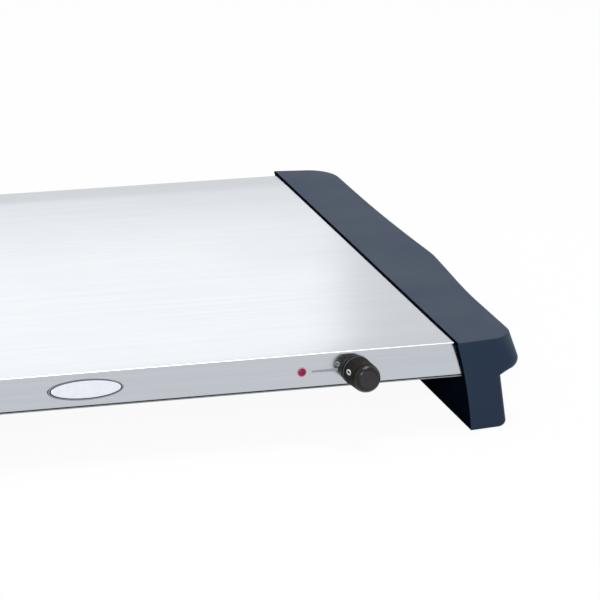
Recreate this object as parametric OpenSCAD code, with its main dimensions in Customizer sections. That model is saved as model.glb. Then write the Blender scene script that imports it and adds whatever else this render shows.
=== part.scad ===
// Electric food warmer tray: a folded stainless warming surface carried between two moulded
// end caps, with a thermostat knob and an indicator light on the leaning front apron.
// Millimetres. X to the right, Y to the back, Z up. The origin is on the table, under the
// middle of the whole outline.

/* [Warming surface] */
// Width of the bare steel between the end caps
surface_w = 537; // [440:1:680]
// Depth of the steel from the front fold to the back fold
surface_d = 406; // [330:1:480]
// Height of the steel above the table
surface_h = 66; // [60:0.5:80]
// Thickness of the folded stainless sheet
sheet_t = 1; // [0.8:0.1:1.4]
// Length of the front and back aprons along their slope
apron_h = 24.3; // [24:0.1:27]
// Lean of the aprons, out at the bottom, in degrees
apron_lean = 4.5; // [0:0.5:7]
// Width of the flange folded in at the foot of each apron
return_w = 11; // [9:0.5:13]
// Height of the flange folded down at each end
end_flange_h = 20; // [17:0.5:21]
// Inside radius of the folds
fold_r = 0.8; // [0.4:0.1:1.5]
// How far the steel goes in under the lip of each cap
tuck = 6; // [5:0.5:7]

/* [End caps] */
// Height of the cap above the steel
cap_lip = 1.5; // [1:0.1:3]
// Moulded wall
cap_wall = 2.8; // [2:0.1:3.2]
// How far the cap stands past the steel, front and back, at its inner edge
end_proud = 7; // [5:0.5:10]
// How much of that is lost for each millimetre outward
end_slant = 0.13; // [0:0.01:0.2]
// Where the inner edge starts, inside the end of the bare steel
lip_over = 0; // [-0.5:0.1:1]
// Outward run of the inner edge from the steel to the table
inner_run = 13.6; // [11:0.1:15]
// How much of that run is curvature
inner_curve = 7.2; // [4:0.1:9]
// Outer face of the leg at the table
leg_out_floor = 42.6; // [40:0.1:43]
// Inward lean of the leg's outer face, for each millimetre up
leg_lean = 0.175; // [0.1:0.005:0.2]
// Height where the leg meets the underside of the grip
grip_under = 39.2; // [38:0.1:42]
// Centre of the grip's rounded edge, outward from the steel
nose_u = 45.1; // [44:0.1:48]
// Height of the centre of the grip's rounded edge
nose_z = 48.1; // [47.5:0.1:50]
// Radius of the grip's rounded edge
nose_r = 5.7; // [4:0.1:6]
// Lean of the grip's side, in at the top, in degrees
side_lean = 16.5; // [14:0.5:22]
// How much farther out the grip's side stands at the front than at the back
side_taper = 1.3; // [0:0.1:3]
// Radius of the grip's corners in plan, at its rounded edge
corner_r = 14; // [9:0.5:18]
// Radius of the cap's corners in plan, at the top
top_corner_r = 22.5; // [12:0.5:26]
// Radius of the leg's corners in plan
leg_corner_r = 4; // [3:0.5:6]
// Radius at the foot of the leg
foot_round = 3.5; // [2:0.1:4]
// Softening of the top's front, back and inner edges
edge_r = 0.8; // [0.4:0.1:1.2]
// Softening of the top's outer edge
side_edge_r = 1.5; // [1:0.1:4]
// Outward swell of the grip
bulge = 5.9; // [0:0.1:8]
// Peak of the swell, as a share of the steel's depth
bulge_at = 0.468; // [0.44:0.002:0.54]
// Length of the swell in front of its peak, as a share of the depth
bulge_fore = 0.273; // [0.2:0.001:0.3]
// Length of the swell behind its peak, as a share of the depth
bulge_aft = 0.416; // [0.25:0.001:0.42]
// Thickness of the ribs inside
rib_t = 2.2; // [1.6:0.1:3]
// Spacing of the ribs
rib_pitch = 52; // [45:1:70]
// Length of the grip left free of ribs for the fingers
grip_free = 100; // [80:1:120]

/* [Feet] */
// Radius of the rubber feet
foot_r = 7.5; // [6:0.1:8]
// Height of each foot
foot_h = 4; // [3:0.1:5]
// How far the feet stand below the caps
foot_proud = 0.8; // [0.5:0.1:1.5]
// Distance of the feet from the front and back folds
foot_y = 18; // [16:1:40]

/* [Controls] */
// Knob centre, in from the right-hand end of the steel
knob_in = 72.5; // [70:0.5:110]
// Knob centre, down the apron from the fold
knob_s = 14.6; // [13:0.1:14.6]
// Radius of the knob at its back rim
knob_r = 10.6; // [9.6:0.1:11]
// Draft of the knob's side: radius lost for each millimetre forward
knob_draft = 0.02; // [0:0.005:0.03]
// Reach of the knob from the apron
knob_reach = 25; // [23:0.1:32]
// Gap between the knob and the apron
knob_gap = 1.5; // [0.8:0.1:2]
// Rounding of the knob's front edge
knob_edge = 4; // [1.5:0.1:4.5]
// Radius of the thermostat's shaft
shaft_r = 3; // [2.5:0.1:3.2]
// Indicator light, left of the knob
lamp_gap = 40.3; // [30:0.1:60]
// Indicator light, down the apron from the fold
lamp_s = 12.5; // [10:0.1:14]
// Radius of the indicator's lens
lens_r = 3; // [2.6:0.1:3.5]
// Length of the oval badge
badge_w = 54; // [40:0.5:60]
// Height of the oval badge
badge_h = 14.6; // [10:0.1:16]
// Thickness of the badge
badge_t = 0.8; // [0.5:0.1:1.2]
// Badge centre, down the apron from the fold
badge_s = 12.1; // [11:0.1:13]

/* [Heater] */
// Thickness of the aluminium heat spreader
spreader_t = 0.8; // [0.5:0.1:1.2]
// Radius of the heating element's tube
element_r = 2.1; // [1.6:0.1:2.6]
// Straight runs of the element
element_runs = 8; // [4:2:8]
// Distance of the first run from the front fold
first_run_y = 58; // [56:1:64]
// Depth of the bay between the insulation pad and the back fold
back_bay = 46; // [44:1:60]
// Thickness of the retaining bars
bar_t = 0.6; // [0.4:0.1:1]
// Number of retaining bars
bars = 4; // [2:1:6]
// Thickness of the base pan
pan_t = 0.8; // [0.6:0.1:1]
// Height of the raised field pressed into the base pan
pan_raise = 2.5; // [1.5:0.1:3.5]

/* [Cord inlet] */
// Bore of the cord gland
gland_bore_r = 3.6; // [3:0.1:4]
// Gland centre, in from the right-hand end of the steel
gland_in_x = 33.5; // [28.5:0.5:60]
// Gland centre, down the back apron from the fold
gland_s = 12.3; // [11:0.1:13]

/* [Hidden] */
$fn = 48;

// Clearances
run_fit = 0.05;     // between a round pin and its hole
slide_fit = 0.3;    // between a piece and the pocket it drops into
hole_fit = 0.4;     // between a screw and its clearance hole

// Heights and edges that many pieces share
half_w = surface_w / 2;
apron_drop = apron_h * cos(apron_lean);
apron_kick = apron_h * sin(apron_lean);
steel_under = surface_h - sheet_t;
pan_top = surface_h - apron_drop;
pan_under = pan_top - pan_t;
cap_top = surface_h + cap_lip;
field_top = pan_top + pan_raise;
spreader_under = steel_under - spreader_t;
element_z = spreader_under - element_r - run_fit;
bar_under = element_z - element_r - run_fit - bar_t;

// The knob's front edge and the caps' back edge set the outline, and its middle is the origin
knob_front_r = knob_r - knob_draft * (knob_reach - knob_edge - knob_gap);
knob_front = knob_s * sin(apron_lean) + (knob_reach - knob_edge) * cos(apron_lean)
           + (knob_front_r - knob_edge) * sin(apron_lean) + knob_edge;
origin_y = (surface_d + end_proud - knob_front) / 2;

// Controls and inlet, placed from the right-hand end of the steel
knob_x = half_w - knob_in;
lamp_x = knob_x - lamp_gap;
gland_x = half_w - gland_in_x;
earth_x = gland_x - 30;
block_x = gland_x - 3;
block_y = surface_d - 32;
cutoff_x = knob_x - 96;
cutoff_y = 30;

// Layout inside the tray
front_bay = 46;                             // depth of the bay behind the front apron
side_bay = 22;                              // width of the wiring bay at the right-hand end
pad_margin = 8;                             // pad beyond the last run
field_x = half_w - side_bay;
field_back = surface_d - back_bay;
run_pitch = (field_back - pad_margin - first_run_y) / (element_runs - 1);
screw_r = 1.9;
screw_head_r = 3.6;
pan_screw_l = 6;
pan_screw_in = 7.2;                         // in from the foot of each apron
low_head_r = 3;                             // low heads, so that no screw shows below the apron
low_head = 0.9;
pan_screw_head = 2;
cap_screw_l = 11;
cap_screw_head = 2.2;
cap_screw_y = [40, surface_d * 0.37, surface_d * 0.63, surface_d - 40];
cap_screw_drop = 12;
pan_screw_x = [for (i = [-1.5:1:1.5]) i * (surface_w - 96) / 3];
lead_r = 1.2;
lead_seat = 4;                              // how far a lead goes into its ferrule

// Points on the aprons: x across, s down the slope, out along the outward normal
function front_point(x, s, out) = [x, -s * sin(apron_lean) - out * cos(apron_lean),
                                   surface_h - s * cos(apron_lean) + out * sin(apron_lean)];
function back_point(x, s, out) = [x, surface_d + s * sin(apron_lean) + out * cos(apron_lean),
                                  surface_h - s * cos(apron_lean) + out * sin(apron_lean)];

module on_front(x, s) {
    translate(front_point(x, s, 0)) rotate([90 - apron_lean, 0, 0]) children();
}
module on_back(x, s) {
    translate(back_point(x, s, 0)) rotate([apron_lean - 90, 0, 0]) children();
}
module along_x(from, to) {
    translate([from, 0, 0]) rotate([90, 0, 90]) linear_extrude(to - from) children();
}

// Folded sheet: a path along one face, with rounded bends, and back along the other face
function unit(v) = v / norm(v);
function clockwise(v) = [v[1], -v[0]];
function reversed(list) = [for (i = [len(list) - 1:-1:0]) list[i]];
function corner(a, b, c, r, n) =
    let (u = unit(a - b), w = unit(c - b), half = acos(u * w) / 2,
         m = b + unit(u + w) * r / sin(half),
         p = b + u * r / tan(half) - m, q = b + w * r / tan(half) - m,
         from = atan2(p[1], p[0]), turn = (180 - 2 * half) * sign(cross(p, q)))
    [for (i = [0:n]) m + r * [cos(from + turn * i / n), sin(from + turn * i / n)]];
function moved_path(p, t) =
    [for (i = [0:len(p) - 1])
        let (a = clockwise(unit(p[max(i, 1)] - p[max(i, 1) - 1])),
             b = clockwise(unit(p[min(i, len(p) - 2) + 1] - p[min(i, len(p) - 2)])))
        p[i] + t * (a + b) / (1 + a * b)];
function bent(p, r_right, r_left, n = 4) =
    [p[0],
     for (i = [1:len(p) - 2])
        let (right = cross(p[i] - p[i - 1], p[i + 1] - p[i]) < 0)
        each corner(p[i - 1], p[i], p[i + 1], right ? r_right : r_left, n),
     p[len(p) - 1]];
function sheet(path, t, bend) =
    concat(bent(path, bend + t, bend), reversed(bent(moved_path(path, t), bend, bend + t)));

// ---------------------------------------------------------------- steelwork

apron_path = [[return_w - apron_kick, pan_top], [-apron_kick, pan_top], [0, surface_h],
              [surface_d, surface_h], [surface_d + apron_kick, pan_top],
              [surface_d + apron_kick - return_w, pan_top]];

module end_flange() {
    inset = 3;
    translate([half_w + tuck - sheet_t, inset, surface_h - end_flange_h])
        cube([sheet_t, surface_d - 2 * inset, end_flange_h - sheet_t / 2]);
}

module top_panel() {
    color("gainsboro")
    difference() {
        union() {
            along_x(-half_w - tuck, half_w + tuck) polygon(sheet(apron_path, sheet_t, fold_r));
            end_flange();
            mirror([1, 0, 0]) end_flange();
        }
        on_front(knob_x, knob_s) cylinder(r = bushing_r + run_fit, h = 3 * sheet_t, center = true);
        on_front(lamp_x, lamp_s) cylinder(r = lens_stem_r + run_fit, h = 3 * sheet_t, center = true);
        on_back(gland_x, gland_s) cylinder(r = gland_r + run_fit, h = 3 * sheet_t, center = true);
        on_back(earth_x, gland_s) cylinder(r = screw_r + run_fit, h = 3 * sheet_t, center = true);
        pan_screw_places() cylinder(r = screw_r + run_fit, h = 3 * sheet_t, center = true);
        for (side = [0, 1]) mirror([side, 0, 0])
            cap_screw_places() cylinder(r = screw_r + hole_fit, h = 3 * sheet_t, center = true);
    }
}

// Screws up through the pan into the apron flanges
module pan_screw_places() {
    for (x = pan_screw_x)
        for (y = [pan_screw_in - apron_kick, surface_d - pan_screw_in + apron_kick])
            translate([x, y, pan_top]) children();
}

module raised_block(grow, z0, z1) {
    slope = 2;
    front = front_bay + 6 - grow;
    back = field_back - 6 + grow;
    side = field_x - 6 + grow;
    rise = z1 - z0;
    intersection() {
        along_x(-half_w, half_w)
            polygon([[front, z0], [front + slope * rise, z1], [back - slope * rise, z1], [back, z0]]);
        rotate([90, 0, 0]) translate([0, 0, -surface_d])
            linear_extrude(surface_d)
            polygon([[-side, z0], [slope * rise - side, z1], [side - slope * rise, z1], [side, z0]]);
    }
}

module base_pan() {
    vents = 9;
    vent_pitch = 11;
    edge = 0.5;
    end = half_w + tuck - slide_fit;
    front = -apron_kick + edge;
    back = surface_d + apron_kick - edge;
    color("silver")
    difference() {
        union() {
            translate([-end, front, pan_under]) cube([2 * end, back - front, pan_t]);
            raised_block(pan_t, pan_top - pan_t / 2, field_top);
        }
        raised_block(0, pan_under - 1, field_top - pan_t);
        pan_screw_places() cylinder(r = screw_r + hole_fit, h = 6 * pan_t, center = true);
        translate([block_x, block_y, pan_top])
            cylinder(r = block_screw_r + run_fit, h = 6 * pan_t, center = true);
        for (bank = [-1, 1], i = [0:vents - 1])
            translate([bank * knob_x + (i - (vents - 1) / 2) * vent_pitch, 20, pan_under - 1])
                vent_slot(4, 18, pan_t + 2);
    }
}

module vent_slot(w, l, h) {
    linear_extrude(h) {
        translate([-w / 2, 0]) square([w, l]);
        for (y = [0, l]) translate([0, y]) circle(d = w);
    }
}

// A screw along +Z, with its head's seat at z = 0
module pan_head(r, length, head_r, head_h) {
    difference() {
        union() {
            cylinder(r = r, h = length);
            translate([0, 0, -head_h]) cylinder(r1 = head_r * 0.82, r2 = head_r, h = head_h);
        }
        for (turn = [0, 90])
            rotate(turn) translate([-head_r / 2, -0.4, -head_h - 1]) cube([head_r, 0.8, 1 + head_h / 2]);
    }
}

module pan_screws() {
    color("lightsteelblue")
        pan_screw_places() translate([0, 0, -pan_t])
            pan_head(screw_r, pan_screw_l, low_head_r, low_head);
}

// ---------------------------------------------------------------- end caps

// Everything about a cap is measured outward (u) from the end of the bare steel.
function proud(u) = end_proud - end_slant * max(u, 0);
function leg_out(z) = leg_out_floor - leg_lean * z;
function inner_edge(z) =
    let (s = max(0, 1 - z / surface_h)) inner_run * s + inner_curve * s * (1 - s) - lip_over;
nose_end = [nose_u + nose_r * cos(side_lean), nose_z + nose_r * sin(side_lean)];
function side_out(z) = nose_end[0] - (z - nose_end[1]) * tan(side_lean);
function corner_at(z) =
    corner_r + (top_corner_r - corner_r)
             * max(0, min(1, (z - nose_end[1]) / (cap_top - side_edge_r - nose_end[1])));
bulge_y = bulge_at * surface_d;
bulge_front = bulge_fore * surface_d;
bulge_back = bulge_aft * surface_d;
bulge_ease = 1.3;
function swell(y) =
    let (t = min(1, (y < bulge_y ? (bulge_y - y) / bulge_front : (y - bulge_y) / bulge_back)))
    bulge * pow(1 - t, 2) * (1 + (y < bulge_y ? bulge_ease * t : 0));
swell_steps = 12;
corner_steps = 8;
nose_steps = 7;
swell_stations = [for (i = [-swell_steps:swell_steps])
                    bulge_y + (i < 0 ? bulge_front : bulge_back) * i / swell_steps];

// One closed outline of a cap at height z, counter-clockwise from its inner front corner
function cap_ring(z, u_in, u_out, inset, r, swell_by) =
    let (a = [u_in, inset - proud(u_in)], b = [u_out + swell_by * side_taper, inset - proud(u_out)],
         c = [u_out, surface_d - b[1]], d = [u_in, surface_d - a[1]], slope = (c - b) / (c[1] - b[1]))
    [for (p = concat([a], corner(a, b, c, r, corner_steps),
                     [for (y = swell_stations) b + slope * (y - b[1]) + [swell_by * swell(y), 0]],
                     corner(b, c, d, r, corner_steps), [d])) [p[0], p[1], z]];

// Inset of a top edge of radius r, at height z
function soften(z, r) = r - sqrt(r * r - pow(max(0, min(r, z - cap_top + r)), 2));

module skin(rings) {
    n = len(rings[0]);
    top = len(rings) - 1;
    sides = [for (i = [0:top - 1], j = [0:n - 1])
                let (k = (j + 1) % n)
                each [[i * n + j, (i + 1) * n + j, (i + 1) * n + k],
                      [i * n + j, (i + 1) * n + k, i * n + k]]];
    polyhedron(points = [for (ring = rings) each ring],
               faces = concat(sides, [[for (j = [0:n - 1]) j]],
                              [[for (j = [n - 1:-1:0]) top * n + j]]));
}

// Outline of the whole cap: foot rounding, leg, rounded grip edge, leaning side, soft top edge
foot_base = foot_proud + foot_round;
cap_rings = concat(
    [for (a = [0:22.5:90])
        cap_ring(foot_base - foot_round * cos(a), inner_edge(foot_base - foot_round * cos(a)),
                 leg_out(foot_base) - foot_round * (1 - sin(a)), 0, leg_corner_r, 0)],
    [for (i = [1:5])
        let (z = foot_base + (grip_under - foot_base) * i / 5)
        cap_ring(z, inner_edge(z), leg_out(z), 0, leg_corner_r, 0)],
    [for (i = [0:nose_steps])
        let (a = side_lean - (side_lean + 78) * (1 - i / nose_steps), z = nose_z + nose_r * sin(a))
        cap_ring(z, inner_edge(z), nose_u + nose_r * cos(a), 0, corner_r, 1)],
    [let (z = surface_h - 9) cap_ring(z, inner_edge(z), side_out(z), 0, corner_at(z), 1)],
    [for (a = [0:15:90])
        let (z = cap_top - side_edge_r * (1 - sin(a)), inset = soften(z, edge_r),
             side = soften(z, side_edge_r))
        cap_ring(z, inner_edge(z) + inset, side_out(z) - side, inset, corner_at(z) - side, 1)]);

// The hollow of the leg, open below, and the finger channel behind the grip's edge
pocket_u = tuck + slide_fit;
roof_z = cap_top - cap_wall;
channel_step = 0.5;
module leg_core() {
    skin([for (z = [-1, foot_base, 22, pan_under - 2, pan_under - 1, roof_z])
        cap_ring(z, max(inner_edge(max(z, 0)), z > pan_under - 2 ? pocket_u : 0) + cap_wall,
                 leg_out(z) - cap_wall, cap_wall, leg_corner_r - cap_wall + 1, 0)]);
}
module grip_core() {
    skin([for (z = [grip_under - 8, nose_z, roof_z])
        cap_ring(z, leg_out(z) + channel_step, min(side_out(z), nose_u + nose_r) - cap_wall, cap_wall,
                 corner_at(z) - cap_wall, 1)]);
}

module ribs(keep_free) {
    count = floor((surface_d - 60) / rib_pitch);
    for (i = [0:count])
        let (y = surface_d / 2 + (i - count / 2) * rib_pitch)
        if (abs(y - bulge_y) > keep_free / 2)
            translate([0, y - rib_t / 2, 0]) children();
}

module foot_places() {
    for (y = [foot_y, surface_d - foot_y])
        translate([half_w + (inner_edge(0) + leg_out(0) - foot_round) / 2, y, 0]) children();
}

module cap_screw_places() {
    for (y = cap_screw_y)
        translate([half_w + tuck - sheet_t, y, surface_h - cap_screw_drop])
            rotate([0, 90, 0]) children();
}

module end_cap() {
    floor_t = foot_h - foot_proud + 2;
    boss_r = 4;
    boss_l = cap_screw_l + 2;
    difference() {
        translate([half_w, 0, 0]) skin(cap_rings);
        difference() {
            translate([half_w, 0, 0]) leg_core();
            ribs(0) translate([half_w, 0, 7]) cube([60, rib_t, cap_top]);
            for (y = [-20, surface_d - foot_y - foot_r - 2])
                translate([half_w, y, -2])
                    cube([60, 20 + foot_y + foot_r + 2, 2 + foot_proud + floor_t]);
            cap_screw_places() cylinder(r = boss_r, h = boss_l);
        }
        difference() {
            translate([half_w, 0, 0]) grip_core();
            ribs(grip_free) translate([half_w, 0, nose_z]) cube([70, rib_t, cap_top]);
        }
        along_x(half_w - 20, half_w + pocket_u)
            polygon([[-apron_kick - slide_fit, pan_under - slide_fit], [-slide_fit, surface_h],
                     [surface_d + slide_fit, surface_h],
                     [surface_d + apron_kick + slide_fit, pan_under - slide_fit]]);
        foot_places() translate([0, 0, -1]) cylinder(r = foot_r + run_fit, h = 1 + foot_h);
        cap_screw_places() cylinder(r = screw_r + run_fit, h = boss_l - 1);
    }
}

module end_cap_right() {
    color([0.2, 0.25, 0.31]) end_cap();
}
module end_cap_left() {
    color([0.2, 0.25, 0.31]) mirror([1, 0, 0]) end_cap();
}

module rubber_feet() {
    color([0.12, 0.12, 0.12])
        for (side = [0, 1]) mirror([side, 0, 0])
            foot_places() {
                cylinder(r1 = foot_r - foot_proud / 2, r2 = foot_r, h = foot_proud / 2);
                translate([0, 0, foot_proud / 2]) cylinder(r = foot_r, h = foot_h - foot_proud / 2);
            }
}

module cap_screws() {
    color("lightsteelblue")
        cap_screw_places() pan_head(screw_r, cap_screw_l, screw_head_r, cap_screw_head);
}
module cap_screws_right() {
    cap_screws();
}
module cap_screws_left() {
    mirror([1, 0, 0]) cap_screws();
}

// ---------------------------------------------------------------- heater

// Aluminium sheet against the steel, notched at the front for the near tail's ferrule
module heat_spreader() {
    front = 14;
    notch = ferrule_wall + 1;
    color([0.8, 0.8, 0.82])
    difference() {
        translate([-field_x, front, spreader_under])
            cube([2 * field_x, surface_d - 2 * front, spreader_t]);
        translate([tail_near_x - element_r - notch, 0, spreader_under - 1])
            cube([2 * (element_r + notch), tail_end_y + ferrule_grip + 1, spreader_t + 2]);
        cutoff_screw_places() cylinder(r = cutoff_screw_r + run_fit, h = 4 * spreader_t, center = true);
    }
}

module run(from, to, y) {
    translate([from, y, element_z]) rotate([0, 90, 0]) cylinder(r = element_r, h = to - from);
}
module bend_at(x, y, radius, from, sweep) {
    translate([x, y, element_z]) rotate([0, 0, from])
        rotate_extrude(angle = sweep) translate([radius, 0]) circle(r = element_r);
}

run_left = 20 - field_x + run_pitch / 2;
run_right = field_x - 12 - run_pitch / 2;
tail_elbow = 8;
tail_near_x = run_right + tail_elbow;
tail_far_x = field_x + 3;
tail_end_y = 36;

// One tube: the runs lie across the tray, joined by half-circle bends, and both ends come
// forward at the right-hand end
module heating_element() {
    last = element_runs - 1;
    last_y = first_run_y + last * run_pitch;
    color([0.45, 0.42, 0.4])
    union() {
        for (i = [0:last])
            run(run_left, i == last ? tail_far_x - tail_elbow : run_right, first_run_y + i * run_pitch);
        for (i = [0:last - 1])
            bend_at(i % 2 == 0 ? run_left : run_right, first_run_y + (i + 0.5) * run_pitch,
                    run_pitch / 2, i % 2 == 0 ? 90 : -90, 180);
        bend_at(run_right, first_run_y - tail_elbow, tail_elbow, 0, 90);
        bend_at(tail_far_x - tail_elbow, last_y - tail_elbow, tail_elbow, 0, 90);
        translate([tail_near_x, tail_end_y, element_z])
            rotate([-90, 0, 0]) cylinder(r = element_r, h = first_run_y - tail_elbow - tail_end_y);
        translate([tail_far_x, tail_end_y, element_z])
            rotate([-90, 0, 0]) cylinder(r = element_r, h = last_y - tail_elbow - tail_end_y);
    }
}

// Ceramic-lined ferrules join the tails to their leads
ferrule_l = 14;
ferrule_grip = 6;
ferrule_wall = 0.7;
module element_ferrules() {
    color("goldenrod")
        for (x = [tail_near_x, tail_far_x])
            translate([x, tail_end_y + ferrule_grip, element_z]) rotate([90, 0, 0])
                difference() {
                    cylinder(r = element_r + ferrule_wall, h = ferrule_l);
                    translate([0, 0, -1])
                        cylinder(r = element_r + run_fit, h = 1 + ferrule_grip + run_fit);
                    translate([0, 0, ferrule_l - lead_seat])
                        cylinder(r = lead_r + run_fit, h = lead_seat + 1);
                }
}

// Hat-section bars that press the element against the spreader
module element_bars() {
    bar_w = 10;
    foot = 8;
    front = first_run_y - 12;
    back = field_back + 2;
    low = bar_under;
    path = [[back + foot, spreader_under], [back, spreader_under], [back - 2, low + bar_t],
            [front + 2, low + bar_t], [front, spreader_under], [front - foot, spreader_under]];
    color("silver")
        for (i = [0:bars - 1])
            let (x = (i - (bars - 1) / 2) * 2 * (run_right - 20) / bars)
            along_x(x - bar_w / 2, x + bar_w / 2)
                polygon(sheet(reversed(path), bar_t, 0.3));
}

module insulation_pad() {
    color([0.93, 0.9, 0.8])
        translate([-field_x, front_bay, field_top])
            cube([2 * field_x, field_back - front_bay, bar_under - field_top - run_fit]);
}

// ---------------------------------------------------------------- thermostat and knob

bushing_r = 4.5;
nut_h = 2.4;
nut_af = 11;
washer_t = 0.5;
body_w = 32;
body_h = 15.4;
body_l = 18;
cam_r = 6.5;
cam_l = 5;
cam_back = 15;
shaft_front = knob_reach - 8;
flat_depth = 1;
tab_w = 6.3;
tab_t = 0.8;
tab_l = 8;
tab_x = 9;

module thermostat_body() {
    color([0.85, 0.82, 0.75])
    on_front(knob_x, knob_s)
    difference() {
        translate([-body_w / 2, -body_h / 2, -sheet_t - body_l]) cube([body_w, body_h, body_l]);
        translate([0, 0, -cam_back - 1]) cylinder(r = cam_r + 0.5, h = cam_l + 2);
        translate([0, 0, -cam_back]) cylinder(r = bushing_r + run_fit, h = cam_back);
        for (x = [-tab_x, tab_x])
            translate([x - tab_w / 2, -tab_t / 2, -sheet_t - body_l - 1]) cube([tab_w, tab_t, 3]);
    }
}

module thermostat_bushing() {
    color("goldenrod")
    on_front(knob_x, knob_s)
    difference() {
        translate([0, 0, cam_l - cam_back + 1.2])
            cylinder(r = bushing_r, h = cam_back - cam_l - 1.2 + washer_t + nut_h + 1);
        translate([0, 0, -cam_back])
            cylinder(r = shaft_r + run_fit, h = cam_back + washer_t + nut_h + 2);
    }
}

module bushing_washer() {
    color("silver")
    on_front(knob_x, knob_s)
    difference() {
        cylinder(r = 6.6, h = washer_t);
        translate([0, 0, -1]) cylinder(r = bushing_r + run_fit, h = washer_t + 2);
    }
}

module bushing_nut() {
    color("silver")
    on_front(knob_x, knob_s) translate([0, 0, washer_t])
    difference() {
        cylinder(r = nut_af / sqrt(3), h = nut_h, $fn = 6);
        translate([0, 0, -1]) cylinder(r = bushing_r + run_fit, h = nut_h + 2);
    }
}

module thermostat_tabs() {
    color("silver")
    on_front(knob_x, knob_s)
        for (x = [-tab_x, tab_x])
            translate([x - tab_w / 2, -tab_t / 2, -sheet_t - body_l - tab_l])
                cube([tab_w, tab_t, tab_l + 2]);
}

// The shaft turns in the bushing; its cam works the contacts inside the body
module thermostat_shaft() {
    color("lightsteelblue")
    on_front(knob_x, knob_s)
    difference() {
        union() {
            translate([0, 0, -cam_back]) cylinder(r = shaft_r, h = cam_back + shaft_front);
            translate([1.2, 0, -cam_back]) cylinder(r = cam_r - 1.2, h = cam_l);
        }
        translate([shaft_r - flat_depth, -5, hub_start]) cube([5, 10, knob_reach]);
    }
}

hub_start = 7;
knob_wall = 1.4;
hub_r = 5.2;
spring_t = 0.5;
back_break = 0.3;
flutes = 40;
flute_r = 0.42;
flute_from = 5;

module knob_profile() {
    front_arc = [for (a = [0:15:90])
        [knob_front_r - knob_edge * (1 - cos(a)), knob_reach - knob_edge * (1 - sin(a))]];
    polygon(concat([[0, hub_start], [hub_r, hub_start], [hub_r, knob_reach - 3.5],
                    [knob_r - knob_wall, knob_reach - 5], [knob_r - knob_wall, knob_gap],
                    [knob_r - back_break, knob_gap], [knob_r, knob_gap + back_break]],
                   front_arc, [[0, knob_reach]]));
}

module control_knob() {
    flat = shaft_r - flat_depth;
    color([0.13, 0.13, 0.13])
    on_front(knob_x, knob_s)
    difference() {
        rotate_extrude() knob_profile();
        difference() {
            translate([0, 0, hub_start - 1])
                cylinder(r = shaft_r + run_fit, h = shaft_front - hub_start + 1.2);
            translate([flat + spring_t + 2 * run_fit, -5, hub_start - 2]) cube([5, 10, knob_reach]);
        }
        for (i = [0:flutes - 1])
            rotate(i * 360 / flutes)
                translate([knob_r - knob_draft * flute_from + flute_r * 0.45, 0, knob_gap + flute_from])
                rotate([0, -atan(knob_draft), 0])
                cylinder(r = flute_r, h = knob_reach - knob_gap - knob_edge - flute_from, $fn = 16);
    }
}

// A leaf of spring steel between the shaft's flat and the knob
module knob_spring() {
    flat = shaft_r - flat_depth;
    color("silver")
    on_front(knob_x, knob_s)
        translate([flat + run_fit, -1.4, hub_start + 1]) cube([spring_t, 2.8, shaft_front - hub_start - 2]);
}

// ---------------------------------------------------------------- indicator light and badge

lens_stem_r = 2.5;
lens_l = 16;
neon_r = 1.85;
module indicator_lens() {
    dome = [for (a = [0:15:90]) [lens_r * cos(a), 0.5 + 0.9 * sin(a)]];
    color([0.5, 0.05, 0.12])
    on_front(lamp_x, lamp_s)
        rotate_extrude()
            polygon(concat([[0, -1], [neon_r + run_fit, -1], [neon_r + run_fit, -lens_l],
                            [lens_stem_r, -lens_l], [lens_stem_r, 0], [lens_r, 0]], dome));
}

module neon_lamp() {
    color([0.95, 0.6, 0.4])
    on_front(lamp_x, lamp_s) {
        translate([0, 0, lamp_bottom]) cylinder(r = neon_r, h = 9.3);
        translate([0, 0, lamp_bottom + 9.3]) cylinder(r1 = neon_r, r2 = 0.6, h = 1.6);
    }
}

// Push-on clip that bites the lens stem behind the apron
module lamp_clip() {
    color("silver")
    on_front(lamp_x, lamp_s) translate([0, 0, -sheet_t - 0.5])
        difference() {
            cylinder(r = 4.6, h = 0.5);
            translate([0, 0, -1]) cylinder(r = lens_stem_r + run_fit, h = 3);
            for (turn = [0:60:300])
                rotate(turn) translate([lens_stem_r, -0.3, -1]) cube([1.2, 0.6, 3]);
        }
}

module oval_badge() {
    steps = 72;
    outline = [for (i = [0:steps - 1])
        [badge_w / 2 * cos(i * 360 / steps), badge_h / 2 * sin(i * 360 / steps)]];
    color([0.85, 0.87, 0.9])
        on_front(0, badge_s) linear_extrude(badge_t) polygon(outline);
}

// ---------------------------------------------------------------- wiring

cutoff_screw_r = 1.4;
cutoff_tab_x = 4;
module cutoff_screw_places() {
    for (x = [-11, 11]) translate([cutoff_x + x, cutoff_y, spreader_under]) children();
}

// Bimetal disc cut-out on the underside of the spreader, with two tabs pointing down
module thermal_cutoff() {
    color([0.2, 0.2, 0.2])
    difference() {
        union() {
            translate([cutoff_x, cutoff_y, spreader_under - 7]) cylinder(r = 7.5, h = 7);
            translate([cutoff_x - 14, cutoff_y - 3.5, spreader_under - 0.8]) cube([28, 7, 0.8]);
            for (x = [-cutoff_tab_x, cutoff_tab_x])
                translate([cutoff_x + x - tab_t / 2, cutoff_y - tab_w / 2, spreader_under - 7 - tab_l])
                    cube([tab_t, tab_w, tab_l + 1]);
        }
        cutoff_screw_places() translate([0, 0, -3]) cylinder(r = cutoff_screw_r + run_fit, h = 4);
    }
}

module cutoff_screws() {
    color("lightsteelblue")
        cutoff_screw_places() translate([0, 0, -0.8]) pan_head(cutoff_screw_r, 1.5, 2.6, 1.5);
}

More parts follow.
